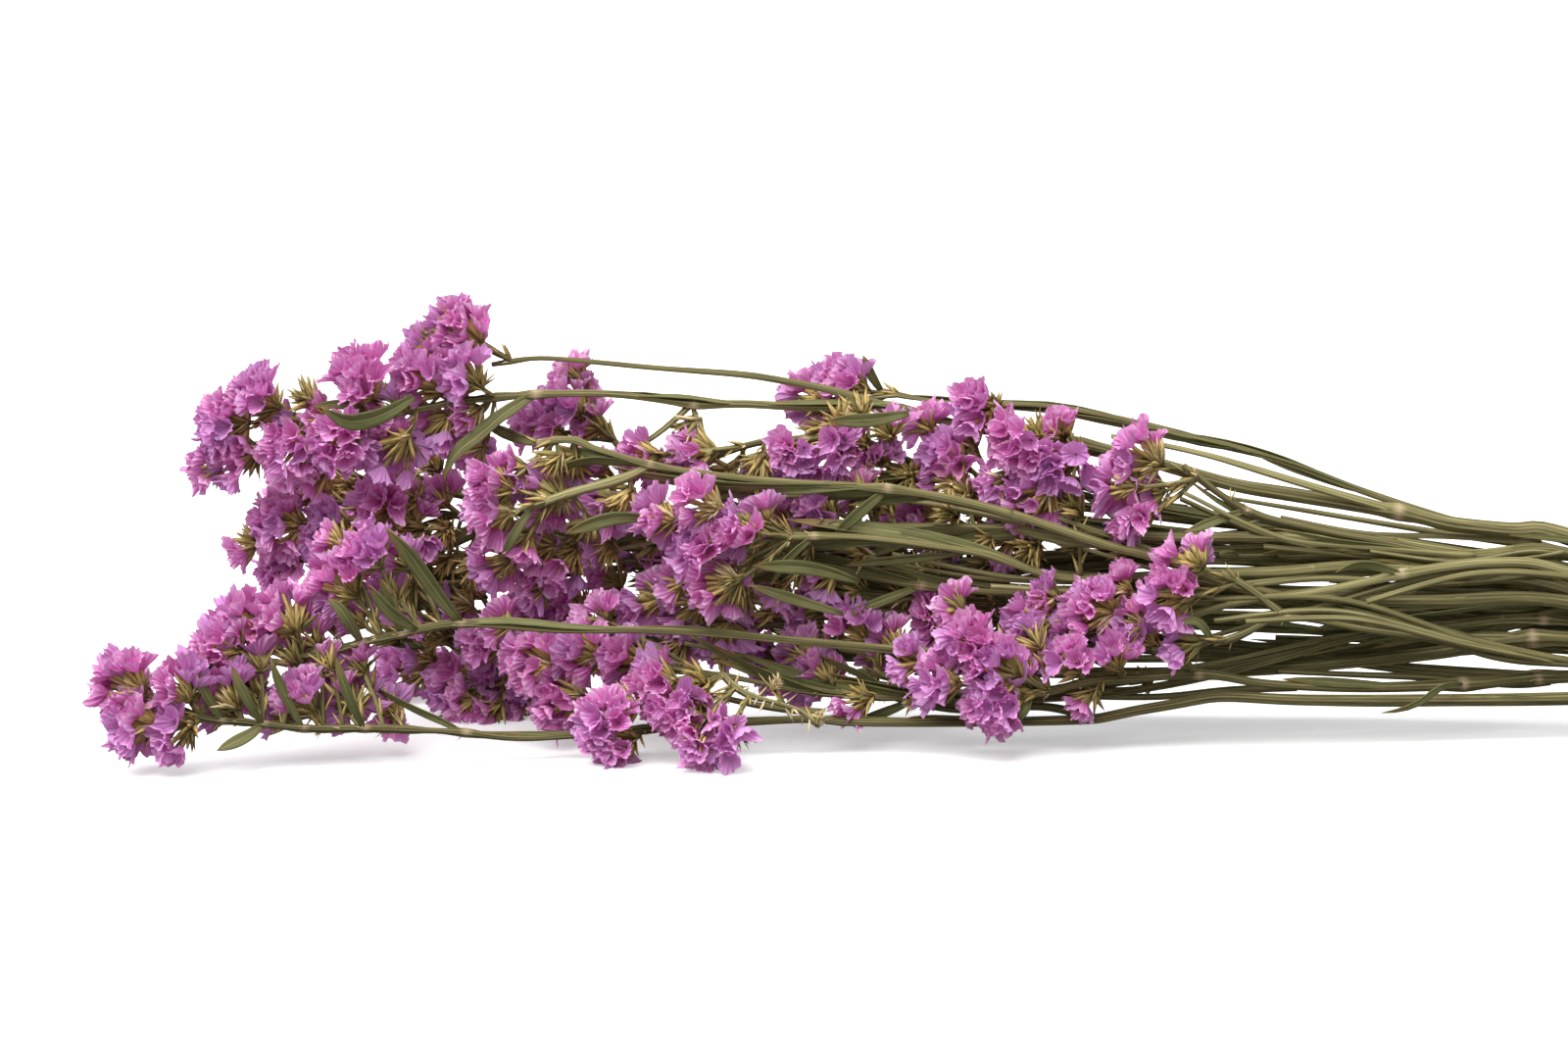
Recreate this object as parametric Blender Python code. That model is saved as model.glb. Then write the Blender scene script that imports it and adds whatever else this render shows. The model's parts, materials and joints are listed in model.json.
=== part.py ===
"""A bunch of dried statice lying on its side: winged stems tied together at the cut end,
each with branches, pointed leaves, tufts of bracts and heads of papery ruffled florets."""
import math
import random

import bmesh
import bpy
import numpy as np
from mathutils import Quaternion, Vector
from mathutils.bvhtree import BVHTree

# Sizes of the plants, in millimetres
STEM_THICK = 0.62          # thickness of a winged stem, as a share of its width
STEM_EVERY = 9             # most points of the line between two rings of a main stem
SIDE_WIDTH = 4.0           # width of a long side stem where it leaves the main one
BRANCH_WIDTH = 2.8
TWIG_WIDTH = 1.7
LEAF_THICK = 0.8
FLORETS = 5                # papery calyces over the dome of a cluster
FLORET_FLARE = 0.66        # half-width of a rim, as a share of the floret's length
FLORET_WELL = 0.42         # depth of the funnel's floor, as a share of its length
CORE = 0.38                # solid middle of a cluster, as a share of its radius
CLUSTER_SUNK = 0.32        # a cluster's core lies this far behind its middle, as a share of its radius
CLUSTER_NEAR = 8.5         # least distance from its stem to its core
FORWARD = 0.6              # how much a cluster leans toward the tip of its stem
LINK = 1.8                 # half-width of the bar between two clusters of a bloom
BRACTS = 3                 # pointed bracts round the foot of a cluster
BRACT_LONG = 9.0
BRACT_NECK = 2.6           # where they leave the twig, below its top
GAP = 0.35                 # air kept between neighbours

# The tie and the cut ends
TIE_AT = 545.0
TIE_HIGH = 25.0
TIE_WIDE = 6.0
TIE_THICK = 1.5
TIE_PACK = 11.4            # how far the outermost stems stand from the middle of the tie
END_AT = 592.0
END_HIGH = 15.4
END_PACK = 16.0

# The layout is read from the front, from slightly above: a point further back looks higher,
# and everything draws in toward the line of sight.
LOOK_DOWN = 0.16
EYE = 1300.0               # distance of the eye
SIGHT = (240.0, 66.0)      # the point it looks at, across and up
MIDDLE = (316.48, -4.98)   # the place across and back that becomes x = 0 and y = 0
STEP = 6.0                 # spacing of the points along a stem
ROUNDS = 90                # rounds of pushing neighbours apart
SEED = 11
FLAT_ENOUGH = 0.01         # faces that turn by less, in radians, are joined

# Colour and roughness of the three finishes
STEM_LOOK = ((0.20, 0.21, 0.10), 0.85)
CALYX_LOOK = ((0.55, 0.16, 0.50), 0.75)
RAFFIA_LOOK = ((0.55, 0.42, 0.24), 0.80)

# Every stem: place in the tie (back, up), width, then points (across, up, back) from right to left.
# Branches and leaves start at the point of the stem nearest to their first point.
PLANTS = {
    "stem_01": {
        "slot": (0.56, 0.77), "width": 4.4,
        "main": [(480, 55, 6), (450, 64, 8), (420, 74, 10), (396, 83, 10), (378, 89, 10),
                 (360, 93, 9), (345, 97, 8), (324, 101, 6), (308, 102, 5), (294, 102, 6),
                 (279, 104, 10), (270, 106, 13)],
        "leaves": [(4, (270, 106, 13), (266, 112, 12), (264, 117, 11))],
    },
    "stem_02": {
        "slot": (0.0, 0.95), "width": 6.2,
        "main": [(480, 61, 0), (462, 63, 0), (444, 65, 0), (432, 68, 0), (420, 70, 0), (396, 74, 1),
                 (378, 77, 2), (360, 82, 3), (339, 88, 4), (318, 92, 4), (296, 95, 2), (272, 101, 0),
                 (249, 101, -2), (228, 102, -4), (213, 102, -5), (189, 105, -6), (165, 105, -7),
                 (142, 103, -8), (126, 100, -9), (111, 98, -10), (97, 98, -10), (86, 98, -10)],
        "branches": [
            [(272, 101, 0), (255, 106, -1), (240, 109, -1), (227, 111, -1), (201, 113, 0),
             (180, 115, 0), (166, 116, 0), (157, 115, -1), (151, 114, -2)],
            [(213, 102, -5), (203, 94, -8), (191, 86, -9), (181, 81, -8)],
            [(432, 68, 0), (410, 74, -2), (390, 80, -2), (370, 86, -2), (352, 90, -2), (340, 92, -5)],
        ],
        "leaves": [(7, (165, 105, -7), (155, 99, -12), (146, 91, -14), (139, 85, -14), (136, 76, -13)),
                   (4, (272, 101, 0), (270, 95, -4), (269, 90, -5)),
                   (4, (118, 99, -10), (106, 102, -15), (96, 101, -17))],
    },
    "stem_03": {
        "slot": (-0.9, 0.29), "width": 5.5,
        "main": [(480, 41, -10), (440, 41, -12), (400, 41, -17), (380, 45, -20), (355, 54, -22),
                 (340, 58, -22), (325, 63, -22), (310, 68, -21), (290, 73, -22), (270, 76, -24),
                 (240, 78, -26), (220, 80, -27), (200, 83, -26), (190, 86, -25), (183, 88, -23),
                 (175, 91, -21), (165, 90, -18)],
        "branches": [[(198, 82, -26), (191, 79, -27), (180, 76, -27), (170, 73, -27), (163, 70, -26)]],
        "leaves": [(4, (163, 70, -26), (158, 63, -27), (154, 55, -26)),
                   (5, (271, 76, -24), (264, 69, -27), (255, 61, -26)),
                   (5, (165, 90, -18), (156, 93, -4), (147, 97, 0))],
    },
    "stem_04": {
        "slot": (0.0, 0.48), "width": 6.0,
        "main": [(480, 49, -2), (435, 58, -2), (414, 60, -3), (384, 61, -4), (354, 61, -6),
                 (324, 63, -8), (300, 64, -9), (270, 64, -10), (250, 65, -8), (225, 67, -6),
                 (200, 66, -4), (182, 63, -4), (173, 61, -4)],
        "branches": [[(235, 67, -7), (215, 76, 4), (200, 83, 8), (190, 88, 9), (186, 96, 9)]],
        "side": [(470, 50, 0), (430, 54, 0), (380, 55, 1), (330, 56, 1), (304, 54, 0), (286, 53, -1)],
    },
    "stem_05": {
        "slot": (-0.56, 0.77), "width": 4.9,
        "main": [(480, 56, -5), (450, 55, -6), (420, 60, -8), (399, 64, -9), (384, 68, -11),
                 (375, 73, -12), (367, 79, -13), (362, 83, -13)],
        "leaves": [(4, (384, 68, -11), (372, 66, -16), (362, 62, -18))],
    },
    "stem_06": {
        "slot": (-0.42, 0.24), "width": 5.5,
        "main": [(480, 50, -12), (460, 53, -14), (445, 52, -16), (428, 49, -18), (405, 44, -20),
                 (378, 40, -22), (362, 35, -22), (353, 33, -22)],
        "leaves": [(4, (428, 49, -18), (418, 52, -24), (409, 50, -27))],
    },
    "stem_07": {
        "slot": (-0.42, -0.24), "width": 5.7,
        "main": [(480, 45, -6), (450, 49, -8), (420, 52, -10), (390, 50, -11), (360, 49, -13),
                 (327, 48, -18), (312, 52, -22), (300, 56, -24), (280, 59, -26), (261, 61, -27),
                 (245, 61, -28), (237, 61, -29)],
        "leaves": [(4, (250, 61, -28), (241, 54, -32), (236, 46, -33))],
    },
    "stem_08": {
        "slot": (0.0, 0.0), "width": 5.2,
        "main": [(480, 40, -2), (440, 43, -4), (400, 44, -8), (360, 46, -11), (327, 44, -14),
                 (305, 44, -15), (281, 46, -16), (260, 50, -16), (245, 51, -16), (232, 50, -16),
                 (224, 45, -14)],
        "side": [(470, 40, -2), (420, 40, -2), (370, 40, -4), (320, 38, -5), (280, 37, -6), (250, 38, -8)],
        "leaves": [(4, (281, 46, -16), (270, 41, -20), (258, 36, -22))],
    },
    "stem_09": {
        "slot": (-0.9, -0.29), "width": 5.2,
        "main": [(480, 22, -10), (459, 24, -14), (441, 29, -18), (420, 32, -20), (394, 36, -24),
                 (380, 30, -27), (372, 28, -28)],
        "branches": [[(394, 36, -24), (384, 44, -26), (374, 50, -28)]],
        "leaves": [(4, (372, 28, -28), (366, 34, -33), (360, 32, -35))],
    },
    "stem_10": {
        "slot": (-0.56, -0.77), "width": 5.5,
        "main": [(480, 17, -6), (450, 15, -10), (420, 14, -14), (390, 15, -18), (370, 18, -22),
                 (350, 17, -27), (335, 16, -32), (322, 13, -36), (316, 12, -38)],
        "branches": [[(370, 18, -22), (361, 24, -26), (353, 26, -28)]],
        "side": [(470, 16, -6), (430, 20, -4), (390, 25, -5), (350, 27, -6), (318, 27, -10)],
        "leaves": [(4, (318, 12, -38), (314, 7, -42), (310, 2, -43)),
                   (3, (451, 15, -10), (443, 14, -24), (434, 8, -29), (424, 6, -31))],
    },
    "stem_11": {
        "slot": (0.0, -0.48), "width": 6.0,
        "main": [(480, 30, -6), (440, 25, -8), (400, 21, -10), (360, 19, -11), (330, 19, -14),
                 (312, 21, -18), (295, 24, -22), (271, 26, -27), (240, 29, -31), (217, 31, -34),
                 (193, 32, -37), (170, 32, -39), (140, 34, -40), (124, 31, -41), (110, 28, -42),
                 (100, 25, -43), (91, 24, -44), (80, 26, -45)],
        "side": [(470, 28, -6), (420, 31, -4), (370, 33, -5), (325, 31, -8)],
        "leaves": [(7, (140, 34, -40), (133, 43, -44), (126, 53, -46), (121, 60, -46), (118, 64, -45)),
                   (4, (124, 32, -41), (119, 41, -45), (116, 48, -46)),
                   (5, (112, 30, -42), (105, 37, -47), (100, 42, -48))],
    },
    "stem_12": {
        "slot": (0.0, -0.95), "width": 6.0,
        "main": [(480, 11, -12), (440, 10, -17), (400, 10, -22), (375, 11, -24), (362, 9, -25),
                 (345, 6, -27), (335, 4, -28), (298, 3, -30), (261, 3, -32), (246, 4, -32),
                 (215, 2, -34), (186, 0, -36), (177, -1, -38), (157, -2, -42), (138, 0, -46),
                 (112, 1, -50), (92, 1, -53), (74, 3, -56), (62, 4, -57), (55, 7, -57)],
        "leaves": [(4, (113, 2, -50), (106, 12, -54), (102, 24, -55)),
                   (4, (92, 2, -53), (86, 12, -57), (82, 23, -58)),
                   (4, (77, 3, -56), (74, 12, -60), (70, 21, -61)),
                   (4, (66, 4, -57), (62, 12, -61), (59, 19, -62)),
                   (4, (142, 1, -45), (128, 8, -41), (110, 17, -37)),
                   (5, (82, 1, -54), (74, -2, -60), (65, -6, -64))],
    },
    "stem_13": {
        "slot": (0.42, -0.24), "width": 5.5,
        "main": [(480, 36, -3), (435, 32, -6), (414, 29, -8), (390, 22, -10), (360, 15, -14),
                 (330, 11, -18), (300, 10, -21), (270, 11, -24), (245, 13, -27), (225, 17, -29),
                 (209, 19, -30)],
        "branches": [[(300, 10, -21), (285, 14, -19), (272, 17, -18), (264, 20, -18)],
                     [(222, 17, -29), (228, 12, -36), (238, 9, -42), (246, 6, -45), (250, 2, -46)]],
        "side": [(470, 34, 0), (430, 27, 2), (380, 27, 3), (330, 29, 3), (290, 33, 1)],
        "leaves": [(4, (280, 10, -23), (270, 6, -20), (261, 3, -19))],
    },
    "stem_14": {
        "slot": (0.9, 0.29), "width": 4.9,
        "main": [(480, 52, 4), (440, 55, 4), (400, 58, 4), (360, 63, 4), (335, 66, 4), (318, 70, 3),
                 (306, 74, 2), (300, 79, 0)],
        "branches": [[(320, 70, 3), (308, 66, 6), (298, 63, 8)]],
        "side": [(470, 52, 5), (420, 61, 9), (370, 68, 10), (335, 77, 10), (310, 86, 9)],
        "leaves": [(4, (345, 65, 4), (334, 72, 8), (326, 75, 10))],
    },
    "stem_15": {
        "slot": (0.9, -0.29), "width": 5.2,
        "main": [(480, 44, 6), (440, 48, 8), (400, 54, 8), (360, 58, 9), (330, 64, 8), (310, 72, 8),
                 (295, 78, 7), (282, 82, 4), (272, 83, 0), (267, 84, -3)],
        "branches": [[(282, 82, 4), (264, 90, 2), (246, 91, -4), (232, 90, -8), (223, 87, -11)]],
        "side": [(470, 46, 7), (420, 51, 14), (360, 54, 16), (300, 51, 18), (250, 49, 18)],
        "leaves": [(5, (246, 91, -4), (234, 86, -2), (222, 83, 0))],
    },
    "stem_16": {
        "slot": (0.42, 0.24), "width": 5.7,
        "main": [(480, 34, 4), (440, 38, 8), (400, 42, 11), (360, 46, 13), (330, 50, 14),
                 (300, 53, 14), (270, 55, 14), (220, 58, 13), (180, 61, 12), (150, 66, 9),
                 (135, 68, 6), (122, 68, 3), (112, 67, 2)],
        "branches": [[(180, 61, 12), (160, 68, 20), (140, 74, 27), (120, 77, 30), (112, 77, 31)]],
        "side": [(470, 35, 6), (400, 36, 7), (340, 38, 7), (290, 42, 6), (250, 44, 5)],
        "leaves": [(5, (150, 66, 9), (138, 60, 4), (128, 56, 2)),
                   (5, (135, 75, 28), (122, 82, 30), (112, 85, 30))],
    },
    "stem_17": {
        "slot": (0.56, -0.77), "width": 5.7,
        "main": [(480, 26, 8), (440, 25, 14), (400, 24, 18), (360, 23, 20), (330, 23, 21),
                 (300, 23, 21), (270, 23, 20), (240, 24, 19), (200, 25, 20), (170, 22, 24),
                 (155, 19, 28), (149, 17, 30)],
        "branches": [[(160, 20, 26), (145, 19, 38), (134, 19, 46)]],
        "leaves": [(5, (200, 25, 20), (186, 32, 26), (174, 36, 30)),
                   (5, (250, 24, 19), (238, 32, 26), (226, 35, 30))],
    },
}

# Every bloom: the stem that bears it, then its clusters (across, up, back, radius).
BLOOMS = {
    "bloom_01": ("stem_12", [(34, 16, -58, 10), (37, 2, -61, 10), (52, -4, -64, 9)]),
    "bloom_02": ("stem_12", [(55, 19, -60, 9), (70, 16, -53, 9)]),
    "bloom_03": ("stem_12", [(92, 13, -44, 10), (107, 13, -40, 9)]),
    "bloom_04": ("stem_12", [(185, 4, -50, 9), (189, -5, -50, 8)]),
    "bloom_05": ("stem_11", [(64, 27, -49, 10), (73, 37, -44, 9), (88, 40, -44, 10)]),
    "bloom_06": ("stem_11", [(102, 49, -42, 10), (112, 59, -40, 9)]),
    "bloom_07": ("stem_02", [(78, 106, -14, 10), (67, 95, -16, 10), (72, 83, -12, 10)]),
    "bloom_08": ("stem_02", [(89, 84, -20, 10), (105, 88, -22, 10), (121, 84, -18, 10), (135, 93, -4, 9)]),
    "bloom_09": ("stem_02", [(112, 108, -14, 11)]),
    "bloom_10": ("stem_02", [(140, 125, -4, 10), (130, 113, -6, 11), (143, 111, -11, 9)]),
    "bloom_11": ("stem_02", [(314, 91, -14, 11), (325, 82, -14, 11), (316, 69, -13, 10)]),
    "bloom_12": ("stem_16", [(115, 72, -6, 9), (99, 60, -4, 11), (83, 64, -4, 10), (84, 50, 4, 9),
                             (103, 44, 9, 9), (120, 41, 15, 9)]),
    "bloom_13": ("stem_16", [(100, 77, 30, 9), (88, 75, 30, 9)]),
    "bloom_14": ("stem_03", [(149, 78, -24, 9), (149, 67, -24, 9)]),
    "bloom_15": ("stem_03", [(169, 73, -15, 11), (187, 69, -10, 9)]),
    "bloom_16": ("stem_04", [(172, 104, 6, 9), (163, 95, 6, 10)]),
    "bloom_17": ("stem_04", [(150, 52, -8, 9), (162, 55, -10, 9), (173, 49, -8, 9)]),
    "bloom_18": ("stem_04", [(252, 71, -18, 9)]),
    "bloom_19": ("stem_08", [(220, 28, -9, 9), (208, 37, -14, 9), (195, 40, -12, 9)]),
    "bloom_20": ("stem_13", [(189, 23, -26, 10), (175, 26, -24, 10), (160, 22, -22, 10), (169, 10, -24, 11)]),
    "bloom_21": ("stem_13", [(198, 15, -40, 9), (208, 5, -48, 10), (221, -4, -58, 9)]),
    "bloom_22": ("stem_13", [(252, 20, -18, 9)]),
    "bloom_23": ("stem_13", [(262, 36, -18, 8), (274, 32, -16, 8)]),
    "bloom_24": ("stem_07", [(223, 63, -36, 9), (212, 72, -36, 9), (199, 67, -32, 8)]),
    "bloom_25": ("stem_07", [(211, 56, -34, 9), (218, 43, -36, 10)]),
    "bloom_26": ("stem_15", [(255, 85, -12, 9), (243, 86, -12, 8), (233, 80, -10, 8),
                             (221, 77, -3, 8)]),
    "bloom_27": ("stem_15", [(210, 86, -12, 9), (194, 88, -10, 8)]),
    "bloom_28": ("stem_01", [(256, 107, 13, 10), (245, 103, 13, 9)]),
    "bloom_29": ("stem_01", [(301, 99, -5, 9)]),
    "bloom_30": ("stem_14", [(289, 88, -4, 9), (286, 79, -5, 8)]),
    "bloom_31": ("stem_14", [(290, 57, 6, 8), (280, 65, 6, 9), (268, 57, 9, 9)]),
    "bloom_32": ("stem_05", [(346, 86, -15, 10), (340, 76, -16, 9), (345, 65, -15, 9)]),
    "bloom_33": ("stem_10", [(303, 9, -44, 10), (304, 22, -44, 10), (294, 30, -40, 9)]),
    "bloom_34": ("stem_10", [(285, 16, -40, 9)]),
    "bloom_35": ("stem_06", [(332, 39, -28, 10)]),
    "bloom_36": ("stem_06", [(313, 34, -26, 9)]),
    "bloom_37": ("stem_09", [(360, 54, -31, 9), (356, 40, -33, 10), (359, 25, -27, 7)]),
    "bloom_38": ("stem_10", [(341, 24, -30, 9), (327, 23, -35, 8)]),
    "bloom_39": ("stem_17", [(137, 14, 27, 11)]),
    "bloom_40": ("stem_17", [(121, 19, 50, 11)]),
    "bloom_41": ("stem_17", [(237, 21, 6, 9)]),
    "bloom_42": ("stem_17", [(174, 43, 6, 9), (160, 36, 8, 11), (147, 29, 10, 9)]),
}

# Tufts of bracts without florets, or with their florets fallen: (stem, across, up, back)
TUFTS = [("stem_16", 129, 74, 0), ("stem_16", 124, 62, -2), ("stem_16", 138, 62, 0),
         ("stem_13", 250, 3, -44), ("stem_13", 238, 12, -42), ("stem_02", 96, 103, -12)]


def at(point):
    """The place of a point of the layout, in millimetres from the middle of the bunch."""
    across, up, back = point[0], point[1], point[2]
    far = 1 + back / EYE
    wide = SIGHT[0] + (across - SIGHT[0]) * far
    high = SIGHT[1] + (up - SIGHT[1]) * far
    return np.array([wide - MIDDLE[0], back - MIDDLE[1], high - LOOK_DOWN * back], dtype=float)


def slot_at(across, pack, high, back, up):
    """The place of a stem's slot in the packed end of the bunch, at a distance across."""
    return across - MIDDLE[0], pack * back - MIDDLE[1], high + pack * up


def curve(points, step=STEP):
    """Points at an even step on a smooth line through the given ones."""
    knots = [points[0]] + list(points) + [points[-1]]
    dense = []
    for first, start, stop, last in zip(knots, knots[1:], knots[2:], knots[3:]):
        for k in range(10):
            t = k / 10
            dense.append(0.5 * (2 * start + (stop - first) * t
                                + (2 * first - 5 * start + 4 * stop - last) * t ** 2
                                + (3 * start - first - 3 * stop + last) * t ** 3))
    dense.append(points[-1])
    dense = np.array(dense)
    along = np.concatenate([[0], np.cumsum(np.linalg.norm(np.diff(dense, axis=0), axis=1))])
    count = max(3, int(round(along[-1] / step)) + 1)
    marks = np.linspace(0, along[-1], count)
    return np.stack([np.interp(marks, along, dense[:, k]) for k in range(3)], axis=1)


class Route:
    """A line of points with a half-width at each, starting on a parent line or at the cut end."""

    def __init__(self, plant, kind, points, half, parent=None):
        self.plant = plant
        self.kind = kind
        self.parent = parent
        self.joint = 0
        points = [np.array(p, dtype=float) for p in points]
        if parent is not None:
            self.joint = int(np.argmin(np.linalg.norm(parent.points - points[0], axis=1)))
            points[0] = parent.points[self.joint]
        self.points = curve(points)
        self.home = self.points.copy()
        share = np.linspace(0, 1, len(self.points))
        self.half = half[0] + (half[1] - half[0]) * share


def lay_out():
    """All lines of the bunch and the middle of every cluster, before anything is pushed apart."""
    routes = []
    for number, (plant, data) in enumerate(PLANTS.items()):
        back, up = data["slot"]
        wave = math.sin(number * 2.4)
        end = slot_at(END_AT + 7 * wave, END_PACK, END_HIGH, back, up)
        beyond = slot_at(TIE_AT + 26, TIE_PACK * 1.15, TIE_HIGH - 4, back, up)
        tie = slot_at(TIE_AT, TIE_PACK, TIE_HIGH, back, up)
        main = Route(plant, "main", [end, beyond, tie] + [at(p) for p in data["main"]],
                     (data["width"] / 2, data["width"] * 0.28))
        routes.append(main)
        for points in data.get("branches", []):
            routes.append(Route(plant, "branch", [at(p) for p in points],
                                (BRANCH_WIDTH / 2, BRANCH_WIDTH * 0.4), main))
        if "side" in data:
            routes.append(Route(plant, "side", [at(p) for p in data["side"]],
                                (SIDE_WIDTH / 2, SIDE_WIDTH * 0.3), main))
        stems = [r for r in routes if r.plant == plant]
        for wide, *points in data.get("leaves", []):
            base = at(points[0])
            parent = min(stems, key=lambda r: np.min(np.linalg.norm(r.points - base, axis=1)))
            leaf = Route(plant, "leaf", [at(p) for p in points], (1.0, 1.0), parent)
            leaf.wide = wide
            routes.append(leaf)
    clusters = []
    for bloom, (plant, places) in BLOOMS.items():
        for place in places:
            seen, radius = at(place), float(place[3])
            stems = np.vstack([r.points for r in routes if r.plant == plant and r.kind != "leaf"])
            away = seen - stems[int(np.argmin(np.linalg.norm(stems - seen, axis=1)))]
            far = np.linalg.norm(away)
            back = max(0.0, min(CLUSTER_SUNK * radius, far - CLUSTER_NEAR))
            clusters.append({"bloom": bloom, "plant": plant, "radius": radius,
                             "middle": seen - away / far * back})
    return routes, clusters


def push_apart(routes, clusters):
    """Shift the lines and clusters so that those of different plants keep clear of each other."""
    names = list(PLANTS)
    blooms = list(BLOOMS)
    sizes = [len(r.points) for r in routes]
    spans = np.cumsum([0] + sizes)
    place = np.vstack([r.points for r in routes] + [c["middle"][None] for c in clusters])
    half = np.concatenate([r.half for r in routes] + [[c["radius"] * 0.62 for c in clusters]])
    owner = np.concatenate([np.full(n, names.index(r.plant)) for n, r in zip(sizes, routes)]
                           + [[100 + blooms.index(c["bloom"]) for c in clusters]])
    rank = np.arange(len(place))
    home = place.copy()
    for turn in range(ROUNDS):
        if turn % 15 == 0:
            order = np.argsort(place[:, 0])
            spot = place[order]
            reach = np.searchsorted(spot[:, 0], spot[:, 0] + 17)
            first = np.repeat(rank, reach - rank - 1)
            second = np.concatenate([np.arange(i + 1, stop) for i, stop in enumerate(reach)])
            first, second = order[first], order[second]
            keep = (owner[first] != owner[second])
            keep &= np.linalg.norm(place[first] - place[second], axis=1) < half[first] + half[second] + 8
            first, second = first[keep], second[keep]
        apart = place[first] - place[second]
        far = np.linalg.norm(apart, axis=1)
        short = np.clip(half[first] + half[second] + 0.9 - far, 0, None)
        lean = apart * (0.15, 1.0, 0.6)
        lean[:, 1] += np.where(lean[:, 1] >= 0, 0.02, -0.02)
        lean /= np.linalg.norm(lean, axis=1)[:, None]
        move = lean * (0.5 * short)[:, None]
        np.add.at(place, first, move)
        np.add.at(place, second, -move)
        shift = place - home
        for start, stop, route in zip(spans, spans[1:], routes):
            part = shift[start:stop]
            if turn < ROUNDS - 12:
                part[1:-1] = 0.25 * part[:-2] + 0.5 * part[1:-1] + 0.25 * part[2:]
            if route.parent is not None:
                upper = spans[routes.index(route.parent)] + route.joint
                for k in range(min(4, len(part))):
                    part[k] += (shift[upper] - part[k]) * (1 - k / 4)
        place = home + shift
        place[:, 2] = np.maximum(place[:, 2], np.minimum(half * 0.5, 4.2))
    for start, stop, route in zip(spans, spans[1:], routes):
        route.points = place[start:stop]
    for cluster, middle in zip(clusters, place[spans[-1]:]):
        cluster["middle"] = middle


def finish_object(name, bm):
    """An object in metres from a mesh in millimetres, with its faces turned out."""
    bmesh.ops.recalc_face_normals(bm, faces=bm.faces)
    bmesh.ops.triangulate(bm, faces=bm.faces)
    bmesh.ops.scale(bm, vec=(0.001, 0.001, 0.001), verts=bm.verts)
    mesh = bpy.data.meshes.new(name)
    bm.to_mesh(mesh)
    bm.free()
    obj = bpy.data.objects.new(name, mesh)
    bpy.context.scene.collection.objects.link(obj)
    return obj


def loft(bm, rings, tip=False):
    """A closed skin through rings of equal count, capped at both ends."""
    rows = [[bm.verts.new(p) for p in ring] for ring in rings]
    point = None
    if tip:
        middle = sum((v.co for v in rows[-1]), Vector()) / len(rows[-1])
        for vert in rows[-1]:
            bm.verts.remove(vert)
        rows.pop()
        point = bm.verts.new(middle)
    for low, high in zip(rows, rows[1:]):
        for k in range(len(low)):
            n = (k + 1) % len(low)
            bm.faces.new((low[k], low[n], high[n], high[k]))
    bm.faces.new(rows[0][::-1])
    if point is None:
        bm.faces.new(rows[-1])
    else:
        for k in range(len(rows[-1])):
            bm.faces.new((rows[-1][k], rows[-1][(k + 1) % len(rows[-1])], point))


def frames(points, twist=0.0, rate=0.0):
    """Side and face directions at every point of a line, turning slowly along it."""
    tangents = np.gradient(points, axis=0)
    tangents /= np.linalg.norm(tangents, axis=1)[:, None]
    out = []
    for k, tangent in enumerate(tangents):
        side = np.cross(tangent, (0, 1, 0))
        side /= np.linalg.norm(side)
        face = np.cross(tangent, side)
        turn = twist + rate * k
        out.append((side * math.cos(turn) + face * math.sin(turn),
                    face * math.cos(turn) - side * math.sin(turn)))
    return out


def rings_at(route, every, feet):
    """Points of a line that carry a ring: both ends, every joint, and some between."""
    last = len(route.points) - 1
    marks = sorted({0, last} | {f for f in feet if 0 < f < last})
    picks = []
    for start, stop in zip(marks, marks[1:]):
        parts = max(1, math.ceil((stop - start) / every))
        picks.extend(start + round((stop - start) * k / parts) for k in range(parts))
    return picks + [last]


def stem_solid(route, picks, twist, thick=STEM_THICK):
    """A winged stem: a flat section of three corners carried along the line."""
    dirs = frames(route.points, twist, 0.012)
    rings = []
    for k in picks:
        side, face = dirs[k]
        centre, a, b = route.points[k], route.half[k], route.half[k] * thick
        rings.append([Vector(centre + side * a - face * b * 0.6), Vector(centre + face * b * 1.2),
                      Vector(centre - side * a - face * b * 0.6)])
    bm = bmesh.new()
    loft(bm, rings)
    return bm


def twig_solid(points, half):
    """A thin branch of three sides."""
    dirs = frames(points, 0.4)
    rings = []
    for centre, width, (side, face) in zip(points, half, dirs):
        rings.append([Vector(centre + width * (side * math.cos(a) + face * math.sin(a)))
                      for a in (0.0, 2.094, 4.189)])
    bm = bmesh.new()
    loft(bm, rings)
    return bm


def leaf_solid(points, wide, twist):
    """A pointed blade, widest past its middle."""
    marks = np.linspace(0, len(points) - 1, 4)
    path = np.stack([np.interp(marks, np.arange(len(points)), points[:, k]) for k in range(3)], axis=1)
    dirs = frames(path, twist, 0.12)
    rings = []
    for centre, share, (side, face) in zip(path, (0.36, 0.8, 1.0, 0.3), dirs):
        a, b = wide / 2 * share, LEAF_THICK / 2
        rings.append([Vector(centre + side * a + face * b), Vector(centre - side * a + face * b),
                      Vector(centre - side * a - face * b), Vector(centre + side * a - face * b)])
    bm = bmesh.new()
    loft(bm, rings, tip=True)
    return bm


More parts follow.
